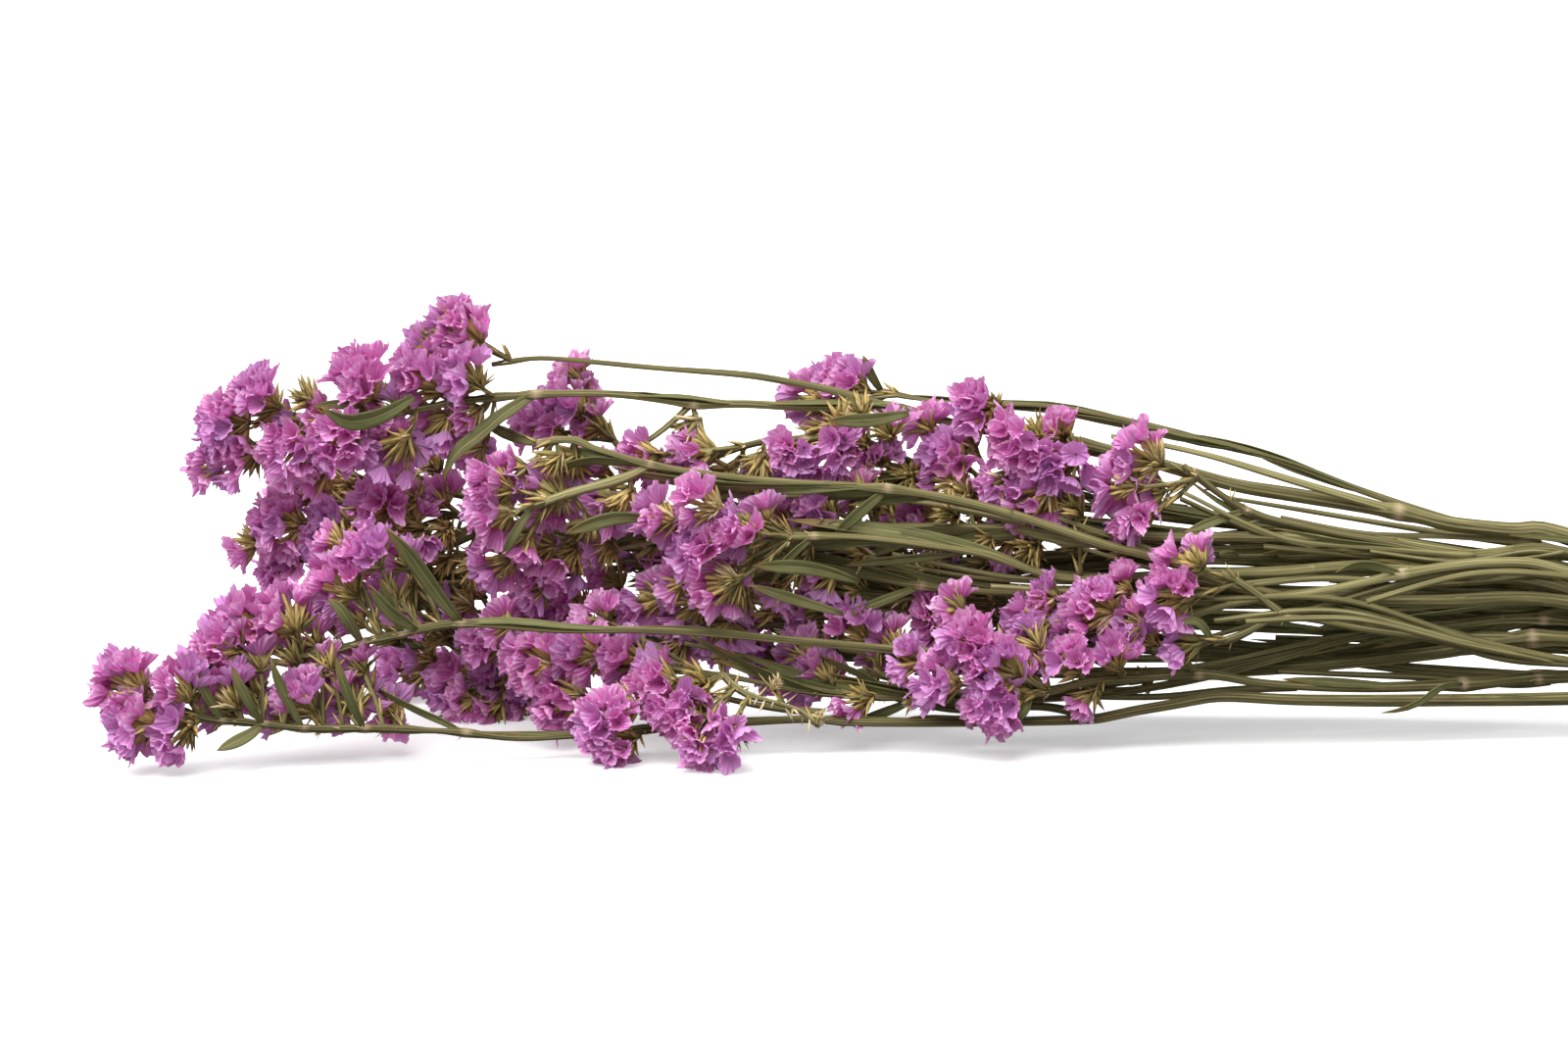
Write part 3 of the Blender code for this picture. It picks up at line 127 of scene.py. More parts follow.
# Every stem: place in the tie (back, up), width, then points (across, up, back) from right to left.
# Branches and leaves start at the point of the stem nearest to their first point.
PLANTS = {
    "stem_01": {
        "slot": (0.56, 0.77), "width": 4.4,
        "main": [(480, 55, 6), (450, 64, 8), (420, 74, 10), (396, 83, 10), (378, 89, 10),
                 (360, 93, 9), (345, 97, 8), (324, 101, 6), (308, 102, 5), (294, 102, 6),
                 (279, 104, 10), (270, 106, 13)],
        "leaves": [(4, (270, 106, 13), (266, 112, 12), (264, 117, 11))],
    },
    "stem_02": {
        "slot": (0.0, 0.95), "width": 6.2,
        "main": [(480, 61, 0), (462, 63, 0), (444, 65, 0), (432, 68, 0), (420, 70, 0), (396, 74, 1),
                 (378, 77, 2), (360, 82, 3), (339, 88, 4), (318, 92, 4), (296, 95, 2),
                 (272, 101, 0),
                 (249, 101, -2), (228, 102, -4), (213, 102, -5), (189, 105, -6), (165, 105, -7),
                 (142, 103, -8), (126, 100, -9), (111, 98, -10), (97, 98, -10), (86, 98, -10)],
        "branches": [
            [(272, 101, 0), (255, 106, -1), (240, 109, -1), (227, 111, -1), (201, 113, 0),
             (180, 115, 0), (166, 116, 0), (157, 115, -1), (151, 114, -2)],
            [(213, 102, -5), (203, 94, -8), (191, 86, -9), (181, 81, -8)],
            [(432, 68, 0), (410, 74, -2), (390, 80, -2), (370, 86, -2), (352, 90, -2),
             (340, 92, -5)],
        ],
        "leaves": [(7, (165, 105, -7), (155, 99, -12), (146, 91, -14), (139, 85, -14),
                    (136, 76, -13)),
                   (4, (272, 101, 0), (270, 95, -4), (269, 90, -5)),
                   (4, (118, 99, -10), (106, 102, -15), (96, 101, -17))],
    },
    "stem_03": {
        "slot": (-0.9, 0.29), "width": 5.5,
        "main": [(480, 41, -10), (440, 41, -12), (400, 41, -17), (380, 45, -20), (355, 54, -22),
                 (340, 58, -22), (325, 63, -22), (310, 68, -21), (290, 73, -22), (270, 76, -24),
                 (240, 78, -26), (220, 80, -27), (200, 83, -26), (190, 86, -25), (183, 88, -23),
                 (175, 91, -21), (165, 90, -18)],
        "branches": [[(198, 82, -26), (191, 79, -27), (180, 76, -27), (170, 73, -27),
                      (163, 70, -26)]],
        "leaves": [(4, (163, 70, -26), (158, 63, -27), (154, 55, -26)),
                   (5, (271, 76, -24), (264, 69, -27), (255, 61, -26)),
                   (5, (165, 90, -18), (156, 93, -4), (147, 97, 0))],
    },
    "stem_04": {
        "slot": (0.0, 0.48), "width": 6.0,
        "main": [(480, 49, -2), (435, 58, -2), (414, 60, -3), (384, 61, -4), (354, 61, -6),
                 (324, 63, -8), (300, 64, -9), (270, 64, -10), (250, 65, -8), (225, 67, -6),
                 (200, 66, -4), (182, 63, -4), (173, 61, -4)],
        "branches": [[(235, 67, -7), (215, 76, 4), (200, 83, 8), (190, 88, 9), (186, 96, 9)]],
        "side": [(470, 50, 0), (430, 54, 0), (380, 55, 1), (330, 56, 1), (304, 54, 0),
                 (286, 53, -1)],
    },
    "stem_05": {
        "slot": (-0.56, 0.77), "width": 4.9,
        "main": [(480, 56, -5), (450, 55, -6), (420, 60, -8), (399, 64, -9), (384, 68, -11),
                 (375, 73, -12), (367, 79, -13), (362, 83, -13)],
        "leaves": [(4, (384, 68, -11), (372, 66, -16), (362, 62, -18))],
    },
    "stem_06": {
        "slot": (-0.42, 0.24), "width": 5.5,
        "main": [(480, 50, -12), (460, 53, -14), (445, 52, -16), (428, 49, -18), (405, 44, -20),
                 (378, 40, -22), (362, 35, -22), (353, 33, -22)],
        "leaves": [(4, (428, 49, -18), (418, 52, -24), (409, 50, -27))],
    },
    "stem_07": {
        "slot": (-0.42, -0.24), "width": 5.7,
        "main": [(480, 45, -6), (450, 49, -8), (420, 52, -10), (390, 50, -11), (360, 49, -13),
                 (327, 48, -18), (312, 52, -22), (300, 56, -24), (280, 59, -26), (261, 61, -27),
                 (245, 61, -28), (237, 61, -29)],
        "leaves": [(4, (250, 61, -28), (241, 54, -32), (236, 46, -33))],
    },
    "stem_08": {
        "slot": (0.0, 0.0), "width": 5.2,
        "main": [(480, 40, -2), (440, 43, -4), (400, 44, -8), (360, 46, -11), (327, 44, -14),
                 (305, 44, -15), (281, 46, -16), (260, 50, -16), (245, 51, -16), (232, 50, -16),
                 (224, 45, -14)],
        "side": [(470, 40, -2), (420, 40, -2), (370, 40, -4), (320, 38, -5), (280, 37, -6),
                 (250, 38, -8)],
        "leaves": [(4, (281, 46, -16), (270, 41, -20), (258, 36, -22))],
    },
    "stem_09": {
        "slot": (-0.9, -0.29), "width": 5.2,
        "main": [(480, 22, -10), (459, 24, -14), (441, 29, -18), (420, 32, -20), (394, 36, -24),
                 (380, 30, -27), (372, 28, -28)],
        "branches": [[(394, 36, -24), (384, 44, -26), (374, 50, -28)]],
        "leaves": [(4, (372, 28, -28), (366, 34, -33), (360, 32, -35))],
    },
    "stem_10": {
        "slot": (-0.56, -0.77), "width": 5.5,
        "main": [(480, 17, -6), (450, 15, -10), (420, 14, -14), (390, 15, -18), (370, 18, -22),
                 (350, 17, -27), (335, 16, -32), (322, 13, -36), (316, 12, -38)],
        "branches": [[(370, 18, -22), (361, 24, -26), (353, 26, -28)]],
        "side": [(470, 16, -6), (430, 20, -4), (390, 25, -5), (350, 27, -6), (318, 27, -10)],
        "leaves": [(4, (318, 12, -38), (314, 7, -42), (310, 2, -43)),
                   (3, (451, 15, -10), (443, 14, -24), (434, 8, -29), (424, 6, -31))],
    },
    "stem_11": {
        "slot": (0.0, -0.48), "width": 6.0,
        "main": [(480, 30, -6), (440, 25, -8), (400, 21, -10), (360, 19, -11), (330, 19, -14),
                 (312, 21, -18), (295, 24, -22), (271, 26, -27), (240, 29, -31), (217, 31, -34),
                 (193, 32, -37), (170, 32, -39), (140, 34, -40), (124, 31, -41), (110, 28, -42),
                 (100, 25, -43), (91, 24, -44), (80, 26, -45)],
        "side": [(470, 28, -6), (420, 31, -4), (370, 33, -5), (325, 31, -8)],
        "leaves": [(7, (140, 34, -40), (133, 43, -44), (126, 53, -46), (121, 60, -46),
                    (118, 64, -45)),
                   (4, (124, 32, -41), (119, 41, -45), (116, 48, -46)),
                   (5, (112, 30, -42), (105, 37, -47), (100, 42, -48))],
    },
    "stem_12": {
        "slot": (0.0, -0.95), "width": 6.0,
        "main": [(480, 11, -12), (440, 10, -17), (400, 10, -22), (375, 11, -24), (362, 9, -25),
                 (345, 6, -27), (335, 4, -28), (298, 3, -30), (261, 3, -32), (246, 4, -32),
                 (215, 2, -34), (186, 0, -36), (177, -1, -38), (157, -2, -42), (138, 0, -46),
                 (112, 1, -50), (92, 1, -53), (74, 3, -56), (62, 4, -57), (55, 7, -57)],
        "leaves": [(4, (113, 2, -50), (106, 12, -54), (102, 24, -55)),
                   (4, (92, 2, -53), (86, 12, -57), (82, 23, -58)),
                   (4, (77, 3, -56), (74, 12, -60), (70, 21, -61)),
                   (4, (66, 4, -57), (62, 12, -61), (59, 19, -62)),
                   (4, (142, 1, -45), (128, 8, -41), (110, 17, -37)),
                   (5, (82, 1, -54), (74, -2, -60), (65, -6, -64))],
    },
    "stem_13": {
        "slot": (0.42, -0.24), "width": 5.5,
        "main": [(480, 36, -3), (435, 32, -6), (414, 29, -8), (390, 22, -10), (360, 15, -14),
                 (330, 11, -18), (300, 10, -21), (270, 11, -24), (245, 13, -27), (225, 17, -29),
                 (209, 19, -30)],
        "branches": [[(300, 10, -21), (285, 14, -19), (272, 17, -18), (264, 20, -18)],
                     [(222, 17, -29), (228, 12, -36), (238, 9, -42), (246, 6, -45), (250, 2, -46)]],
        "side": [(470, 34, 0), (430, 27, 2), (380, 27, 3), (330, 29, 3), (290, 33, 1)],
        "leaves": [(4, (280, 10, -23), (270, 6, -20), (261, 3, -19))],
    },
    "stem_14": {
        "slot": (0.9, 0.29), "width": 4.9,
        "main": [(480, 52, 4), (440, 55, 4), (400, 58, 4), (360, 63, 4), (335, 66, 4), (318, 70, 3),
                 (306, 74, 2), (300, 79, 0)],
        "branches": [[(320, 70, 3), (308, 66, 6), (298, 63, 8)]],
        "side": [(470, 52, 5), (420, 61, 9), (370, 68, 10), (335, 77, 10), (310, 86, 9)],
        "leaves": [(4, (345, 65, 4), (334, 72, 8), (326, 75, 10))],
    },
    "stem_15": {
        "slot": (0.9, -0.29), "width": 5.2,
        "main": [(480, 44, 6), (440, 48, 8), (400, 54, 8), (360, 58, 9), (330, 64, 8), (310, 72, 8),
                 (295, 78, 7), (282, 82, 4), (272, 83, 0), (267, 84, -3)],
        "branches": [[(282, 82, 4), (264, 90, 2), (246, 91, -4), (232, 90, -8), (223, 87, -11)]],
        "side": [(470, 46, 7), (420, 51, 14), (360, 54, 16), (300, 51, 18), (250, 49, 18)],
        "leaves": [(5, (246, 91, -4), (234, 86, -2), (222, 83, 0))],
    },
    "stem_16": {
        "slot": (0.42, 0.24), "width": 5.7,
        "main": [(480, 34, 4), (440, 38, 8), (400, 42, 11), (360, 46, 13), (330, 50, 14),
                 (300, 53, 14), (270, 55, 14), (220, 58, 13), (180, 61, 12), (150, 66, 9),
                 (135, 68, 6), (122, 68, 3), (112, 67, 2)],
        "branches": [[(180, 61, 12), (160, 68, 20), (140, 74, 27), (120, 77, 30), (112, 77, 31)]],
        "side": [(470, 35, 6), (400, 36, 7), (340, 38, 7), (290, 42, 6), (250, 44, 5)],
        "leaves": [(5, (150, 66, 9), (138, 60, 4), (128, 56, 2)),
                   (5, (135, 75, 28), (122, 82, 30), (112, 85, 30))],
    },
    "stem_17": {
        "slot": (0.56, -0.77), "width": 5.7,
        "main": [(480, 26, 8), (440, 25, 14), (400, 24, 18), (360, 23, 20), (330, 23, 21),
                 (300, 23, 21), (270, 23, 20), (240, 24, 19), (200, 25, 20), (170, 22, 24),
                 (155, 19, 28), (149, 17, 30)],
        "branches": [[(160, 20, 26), (145, 19, 38), (134, 19, 46)]],
        "leaves": [(5, (200, 25, 20), (186, 32, 26), (174, 36, 30)),
                   (5, (250, 24, 19), (238, 32, 26), (226, 35, 30))],
    },
}

# Every bloom: the stem that bears it, then its clusters (across, up, back, radius).
BLOOMS = {
    "bloom_01": ("stem_12", [(34, 16, -58, 10), (37, 2, -61, 10), (52, -4, -64, 9)]),
    "bloom_02": ("stem_12", [(55, 19, -60, 9), (70, 16, -53, 9)]),
    "bloom_03": ("stem_12", [(92, 13, -44, 10), (107, 13, -40, 9)]),
    "bloom_04": ("stem_12", [(185, 4, -50, 9), (189, -5, -50, 8)]),
    "bloom_05": ("stem_11", [(64, 27, -49, 10), (73, 37, -44, 9), (88, 40, -44, 10)]),
    "bloom_06": ("stem_11", [(102, 49, -42, 10), (112, 59, -40, 9)]),
    "bloom_07": ("stem_02", [(78, 106, -14, 10), (67, 95, -16, 10), (72, 83, -12, 10)]),
    "bloom_08": ("stem_02", [(89, 84, -20, 10), (105, 88, -22, 10), (121, 84, -18, 10),
                             (135, 93, -4, 9)]),
    "bloom_09": ("stem_02", [(112, 108, -14, 11)]),
    "bloom_10": ("stem_02", [(140, 125, -4, 10), (130, 113, -6, 11), (143, 111, -11, 9)]),
    "bloom_11": ("stem_02", [(314, 91, -14, 11), (325, 82, -14, 11), (316, 69, -13, 10)]),
    "bloom_12": ("stem_16", [(115, 72, -6, 9), (99, 60, -4, 11), (83, 64, -4, 10), (84, 50, 4, 9),
                             (103, 44, 9, 9), (120, 41, 15, 9)]),
    "bloom_13": ("stem_16", [(100, 77, 30, 9), (88, 75, 30, 9)]),
    "bloom_14": ("stem_03", [(149, 78, -24, 9), (149, 67, -24, 9)]),
    "bloom_15": ("stem_03", [(169, 73, -15, 11), (187, 69, -10, 9)]),
    "bloom_16": ("stem_04", [(172, 104, 6, 9), (163, 95, 6, 10)]),
    "bloom_17": ("stem_04", [(150, 52, -8, 9), (162, 55, -10, 9), (173, 49, -8, 9)]),
    "bloom_18": ("stem_04", [(252, 71, -18, 9)]),
    "bloom_19": ("stem_08", [(220, 28, -9, 9), (208, 37, -14, 9), (195, 40, -12, 9)]),
    "bloom_20": ("stem_13", [(189, 23, -26, 10), (175, 26, -24, 10), (160, 22, -22, 10),
                             (169, 10, -24, 11)]),
    "bloom_21": ("stem_13", [(198, 15, -40, 9), (208, 5, -48, 10), (221, -4, -58, 9)]),
    "bloom_22": ("stem_13", [(252, 20, -18, 9)]),
    "bloom_23": ("stem_13", [(262, 36, -18, 8), (274, 32, -16, 8)]),
    "bloom_24": ("stem_07", [(223, 63, -36, 9), (212, 72, -36, 9), (199, 67, -32, 8)]),
    "bloom_25": ("stem_07", [(211, 56, -34, 9), (218, 43, -36, 10)]),
    "bloom_26": ("stem_15", [(255, 85, -12, 9), (243, 86, -12, 8), (233, 80, -10, 8),
                             (221, 77, -3, 8)]),
    "bloom_27": ("stem_15", [(210, 86, -12, 9), (194, 88, -10, 8)]),
    "bloom_28": ("stem_01", [(256, 107, 13, 10), (245, 103, 13, 9)]),
    "bloom_29": ("stem_01", [(301, 99, -5, 9)]),
    "bloom_30": ("stem_14", [(289, 88, -4, 9), (286, 79, -5, 8)]),
    "bloom_31": ("stem_14", [(290, 57, 6, 8), (280, 65, 6, 9), (268, 57, 9, 9)]),
    "bloom_32": ("stem_05", [(346, 86, -15, 10), (340, 76, -16, 9), (345, 65, -15, 9)]),
    "bloom_33": ("stem_10", [(303, 9, -44, 10), (304, 22, -44, 10), (294, 30, -40, 9)]),
    "bloom_34": ("stem_10", [(285, 16, -40, 9)]),
    "bloom_35": ("stem_06", [(332, 39, -28, 10)]),
    "bloom_36": ("stem_06", [(313, 34, -26, 9)]),
    "bloom_37": ("stem_09", [(360, 54, -31, 9), (356, 40, -33, 10), (359, 25, -27, 7)]),
    "bloom_38": ("stem_10", [(341, 24, -30, 9), (327, 23, -35, 8)]),
    "bloom_39": ("stem_17", [(137, 14, 27, 11)]),
    "bloom_40": ("stem_17", [(121, 19, 50, 11)]),
    "bloom_41": ("stem_17", [(237, 21, 6, 9)]),
    "bloom_42": ("stem_17", [(174, 43, 6, 9), (160, 36, 8, 11), (147, 29, 10, 9)]),
}

# Tufts of bracts without florets, or with their florets fallen: stem, then (across, up, back)
TUFTS = {
    "stem_02": [(96, 103, -12)],
    "stem_13": [(250, 3, -44), (238, 12, -42)],
    "stem_16": [(129, 74, 0), (124, 62, -2), (138, 62, 0)],
}

# Small sprigs among the heads, too slight for a solid of their own: bloom, then
# (across, up, back, radius)
SPRIGS = {
    "bloom_02": [(76, 14, -48, 5), (66, 7, -50, 6), (78, 23, -48, 6), (63, 24, -52, 6)],
    "bloom_03": [(92, 15, -44, 5), (95, 30, -42, 6), (84, 5, -46, 6), (99, 22, -44, 6),
                 (118, 8, -36, 6), (108, 22, -40, 6)],
    "bloom_05": [(80, 28, -40, 6), (98, 36, -36, 6)],
    "bloom_06": [(108, 36, -38, 6), (119, 44, -34, 6), (122, 54, -34, 6), (103, 60, -36, 6)],
    "bloom_07": [(90, 93, -12, 6), (64, 82, -12, 6), (98, 97, -14, 5)],
    "bloom_08": [(112, 96, -14, 6), (98, 78, -14, 6), (146, 86, -6, 6), (144, 98, -6, 6)],
    "bloom_09": [(119, 101, -12, 6)],
    "bloom_10": [(131, 122, -4, 5), (137, 127, -4, 5)],
    "bloom_12": [(126, 70, 2, 7), (128, 60, -2, 7), (134, 74, 4, 6), (120, 80, 6, 6),
                 (92, 74, 2, 6), (75, 58, -4, 6)],
    "bloom_13": [(108, 70, 26, 6), (96, 84, 26, 6)],
    "bloom_14": [(160, 60, -20, 6), (158, 80, -20, 6)],
    "bloom_15": [(176, 82, -10, 6)],
    "bloom_16": [(180, 96, 8, 6), (176, 112, 6, 5)],
    "bloom_17": [(184, 56, -6, 6), (164, 43, -4, 6)],
    "bloom_18": [(240, 67, -10, 6), (262, 76, -12, 5)],
    "bloom_19": [(206, 26, -12, 7), (214, 40, -8, 6), (228, 40, -10, 6), (246, 38, -8, 6),
                 (238, 45, -12, 6), (252, 46, -14, 6)],
    "bloom_20": [(152, 34, -18, 6), (182, 36, -20, 6)],
    "bloom_21": [(213, 14, -38, 6), (190, 8, -44, 6), (214, 1, -54, 6), (214, -5, -58, 5)],
    "bloom_22": [(262, 9, -28, 7), (244, 26, -14, 6)],
    "bloom_23": [(268, 26, -14, 6), (284, 38, -12, 6), (285, 30, -12, 6)],
    "bloom_24": [(232, 68, -28, 6)],
    "bloom_25": [(226, 52, -28, 6), (206, 46, -26, 6)],
    "bloom_26": [(240, 69, 4, 7), (272, 95, -8, 5), (262, 90, -8, 5), (270, 86, -4, 5)],
    "bloom_27": [(202, 80, -6, 6), (184, 78, -4, 6)],
    "bloom_30": [(296, 92, 0, 6), (282, 96, 0, 5), (324, 95, -2, 6)],
    "bloom_31": [(258, 49, 10, 7), (246, 54, 12, 7), (300, 50, 8, 6)],
    "bloom_11": [(307, 58, -4, 7), (304, 76, -10, 6)],
    "bloom_32": [(352, 74, -12, 6)],
    "bloom_33": [(316, 30, -34, 6), (312, 14, -38, 6)],
    "bloom_34": [(277, 22, -34, 6), (292, 40, -30, 5)],
    "bloom_35": [(342, 46, -24, 6), (346, 34, -28, 6), (326, 30, -26, 6)],
    "bloom_36": [(320, 42, -24, 6)],
    "bloom_38": [(333, 10, -32, 6), (350, 30, -26, 6)],
    "bloom_39": [(150, 5, 16, 6), (141, 8, 18, 6), (148, 20, 24, 6), (128, 24, 26, 6),
                 (155, 12, 24, 8), (160, 6, 22, 6)],
    "bloom_41": [(228, 30, 10, 6), (246, 14, 8, 6)],
    "bloom_42": [(172, 30, 6, 7), (186, 48, 6, 7), (196, 56, 10, 7), (140, 42, 12, 7),
                 (130, 36, 14, 6), (122, 46, 8, 6)],
}

# Spent tufts deep among the heads, on twigs that reach all the way: stem, then (across, up, back)
SPENT_TUFTS = {
    "stem_02": [(252, 94, 0), (213, 98, -6)],
    "stem_03": [(171, 86, -22), (193, 76, -26), (176, 88, -20), (181, 66, -20)],
    "stem_04": [(232, 46, -8), (296, 74, -8), (317, 59, -12), (292, 67, -12), (268, 71, -10),
                (228, 76, -6), (258, 95, -6), (272, 70, -8)],
    "stem_07": [(246, 52, -22), (330, 69, -14)],
    "stem_08": [(251, 34, -8), (237, 38, -12), (214, 30, -8), (268, 18, -10)],
    "stem_12": [(90, 22, -46)],
    "stem_13": [(222, 12, -34), (221, 22, -26), (279, 9, -28)],
    "stem_15": [(273, 79, 2), (262, 66, 10), (264, 98, -4), (279, 80, -4)],
    "stem_16": [(137, 54, 6), (131, 50, 8), (143, 55, 8), (274, 40, 8), (134, 82, 22), (200, 48, 8),
                (236, 50, 10), (126, 46, 2), (124, 52, 0), (146, 52, 4)],
    "stem_17": [(136, 30, 24), (147, 43, 14), (190, 36, 16), (120, 30, 26), (122, 40, 14),
                (128, 36, 20)],
}

# Thin branches without heads, in the gaps between the stems: the points of each
SHOOTS = {
    "stem_04": [[(300, 68, -6), (280, 72, -4), (262, 74, -2), (240, 73, 2)]],
    "stem_06": [[(424, 47, -16), (404, 48, -18), (384, 46, -20)]],
    "stem_08": [[(300, 46, -12), (270, 40, -10), (240, 34, -8), (214, 33, -6)]],
    "stem_10": [[(476, 16, -4), (464, 15, -6), (440, 17, -8), (415, 18, -10), (392, 19, -12)],
                [(398, 14, -12), (376, 13, -14), (356, 11, -16), (332, 11, -18)]],
    "stem_13": [[(252, 6, -30), (234, 8, -28), (216, 12, -26)],
                [(330, 6, -16), (318, 8, -18), (292, 7, -20), (268, 12, -20)]],
    "stem_14": [[(470, 58, 4), (436, 63, 6), (400, 69, 8), (376, 73, 8)],
                [(472, 59, 0), (445, 61, 1), (418, 62, 2), (392, 67, 2)]],
    "stem_16": [[(240, 52, 10), (200, 52, 10), (160, 48, 12), (128, 46, 14)],
                [(290, 38, 8), (250, 36, 10), (210, 36, 12), (170, 34, 16)]],
    "stem_17": [[(230, 30, 18), (190, 30, 20), (150, 28, 26), (120, 28, 30)]],
}

# Leaves that lie loose between the heads: width, then the points of the leaf
LOOSE_LEAVES = {
    "stem_02": [(6, (127, 104, -26), (117, 98, -33), (107, 96, -36), (99, 101, -35))],
    "stem_04": [(5, (199, 67, -34), (187, 67, -39), (173, 62, -40)),
                (5, (278, 99, -18), (266, 97, -22), (253, 97, -23))],
    "stem_07": [(5, (263, 47, -34), (247, 51, -38), (230, 52, -39)),
                (4, (258, 37, -32), (244, 41, -36), (229, 46, -38))],
    "stem_11": [(5, (127, 32, -46), (119, 38, -50), (113, 46, -51))],
    "stem_16": [(7, (152, 66, 16), (138, 60, 17), (124, 57, 18), (110, 55, 20)),
                (7, (158, 56, 18), (144, 50, 19), (130, 45, 20), (114, 41, 22)),
                (6, (148, 48, 16), (136, 42, 16), (122, 39, 18), (110, 36, 20)),
                (6, (142, 76, 22), (128, 72, 20), (116, 66, 20), (104, 64, 22)),
                (6, (136, 56, 14), (126, 62, 14), (114, 68, 16)),
                (7, (226, 62, 22), (206, 68, 24), (186, 72, 26), (166, 74, 28)),
                (7, (236, 56, 20), (214, 58, 22), (192, 62, 24), (170, 64, 24))],
    "stem_17": [(7, (164, 38, 24), (148, 36, 24), (130, 34, 26), (112, 35, 28)),
                (6, (156, 28, 26), (142, 30, 26), (126, 27, 28), (112, 29, 30)),
                (6, (152, 44, 20), (138, 48, 20), (124, 50, 20), (112, 48, 22))],
}

# Fine pieces, in millimetres
MM = 1000                  # millimetres in a metre
FLOOR_GAP = 0.02           # least height of any point, so that nothing lies in the floor's plane
THREAD = 3.0               # spacing of the rings along a stem
SECTION = 16               # corners of a stem's section, alternately ridge and groove
BRANCH_CORNERS = 12
TWIG_CORNERS = 8
TWIG_FLAT = 0.75           # thickness of a thin branch, as a share of its width
WING_TURN = 0.012          # how far the wings of a stem turn from one point to the next
JOINT_REACH = 4.5          # how far a joint swells its stem, and how far a scar discolours it
SCAR_REACH = 2.4
LEAF_STEPS = 9             # steps along a leaf
LEAF_STRIPS = 6            # strips side by side across a leaf
BRACT_WIDTHS = (0.6, 1.0, 0.66, 0.05)      # width of a bract at its stations, as a share
BRACT_KINDS = 6            # different bracts that the tufts are made of
CALYX_CORNERS = 24         # corners round a calyx, two to a pleat
CALYX_KINDS = 18           # different calyces that the heads are made of
LOBES = 5
PLEAT = 0.34               # half the depth of a pleat of the paper
TUBE_CORNERS = 5
TUBE_FOOT = 0.5            # radius of a calyx's straw foot at its start
TUBE_TOP = 0.078           # its radius where the paper begins, as a share of the open calyx's width
SHEATH = 4                 # straw bracts round a sprig of calyces
SPENT_SHEATH = 12          # straw bracts of a sprig without calyces
BASE = 0.55                # a head's sprigs start this share of its radius behind its middle
USUAL_HEAD = 9.5           # radius of a head that has the usual number of sprigs
TUFT_LONG = 6.0            # least length of the twig below a tuft
CREAM = 1.4                # the tone of a bract that has dried to cream
GOLDEN = math.pi * (3 - math.sqrt(5))      # the turn from one bract or sprig to the next
ROUND = 6.28               # a full turn, near enough for pieces that are scattered
HALF_ROUND = 3.14

# Where the small pieces grow
MIDDLE_HIGH = 55.0         # height of the middle of the bunch among the heads
MIDDLE_FALL = 0.13         # its fall toward the cut ends
LEAFY_END = 40.0           # left of this place loose leaves are wider and stray branches bear tufts
TUFTS_FRONT = -8.0         # if they lie further back than this
DEEP = (-200.0, -20.0)     # leaves lie in the shade of the heads between these two places
SPENT = ("stem_13",)       # plants whose thin branches have lost their florets
BARE_TIPS = ("stem_05",)   # plants whose stems have lost the florets of their tips
OUTER = ("stem_01", "stem_02", "stem_10", "stem_11", "stem_12")    # stems on the bunch's outline
OUTER_AWAY = 1.8           # how far loose leaves stand off these stems,
INNER_AWAY = 7.0           # and off the others


def measured(points):
    """How far along its line every point lies."""
    return np.concatenate([[0], np.cumsum(np.linalg.norm(np.diff(points, axis=0), axis=1))])


def nearest(points, spot):
    """The number of the point of a line that is nearest to a spot, and its distance."""
    gaps = np.linalg.norm(points - spot, axis=1)
    number = int(np.argmin(gaps))
    return number, gaps[number]


def nearest_route(routes, spot):
    """The line that passes nearest to a spot, leaves left out."""
    stems = [route for route in routes if route.kind != "leaf"]
    return min(stems, key=lambda route: nearest(route.points, spot)[1])


def heading(line, number):
    """The way that a line runs at one of its points, not of unit length."""
    return line[min(number + 1, len(line) - 1)] - line[max(number - 1, 0)]


def headings(points):
    """The direction of a line at every point."""
    ways = np.gradient(points, axis=0)
    return ways / np.linalg.norm(ways, axis=1)[:, None]


def at(point):
    """The place of a point of the layout, in millimetres from the middle of the bunch."""
    across, up, back = point[:3]
    far = 1 + back / EYE
    wide = SIGHT[0] + (across - SIGHT[0]) * far
    high = SIGHT[1] + (up - SIGHT[1]) * far
    return np.array([wide - MIDDLE[0], back - MIDDLE[1], high - LOOK_DOWN * back], dtype=float)


def slot_at(across, pack, high, back, up):
    """The place of a stem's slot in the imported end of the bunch, at a distance across."""
    return across - MIDDLE[0], pack * back - MIDDLE[1], high + pack * up


def curve(points, step=STEP):
    """Points at an even step on a smooth line through the given ones."""
    knots = [points[0]] + list(points) + [points[-1]]
    dense = []
    for first, start, stop, last in zip(knots, knots[1:], knots[2:], knots[3:]):
        for tenth in range(10):
            share = tenth / 10
            dense.append(0.5 * (2 * start + (stop - first) * share
                                + (2 * first - 5 * start + 4 * stop - last) * share ** 2
                                + (3 * start - first - 3 * stop + last) * share ** 3))
    dense.append(points[-1])
    dense = np.array(dense)
    along = measured(dense)
    count = max(3, int(round(along[-1] / step)) + 1)
    marks = np.linspace(0, along[-1], count)
    return np.stack([np.interp(marks, along, dense[:, axis]) for axis in range(3)], axis=1)


class Route:
    """A line of points with a half-width at each, starting on a parent line or at the cut end."""

    def __init__(self, plant, kind, points, half, parent=None):
        self.plant = plant
        self.kind = kind
        self.parent = parent
        self.joint = 0
        points = [np.array(point, dtype=float) for point in points]
        if parent is not None:
            self.joint = nearest(parent.points, points[0])[0]
            points[0] = parent.points[self.joint]
        self.points = curve(points)
        share = np.linspace(0, 1, len(self.points))
        self.half = half[0] + (half[1] - half[0]) * share


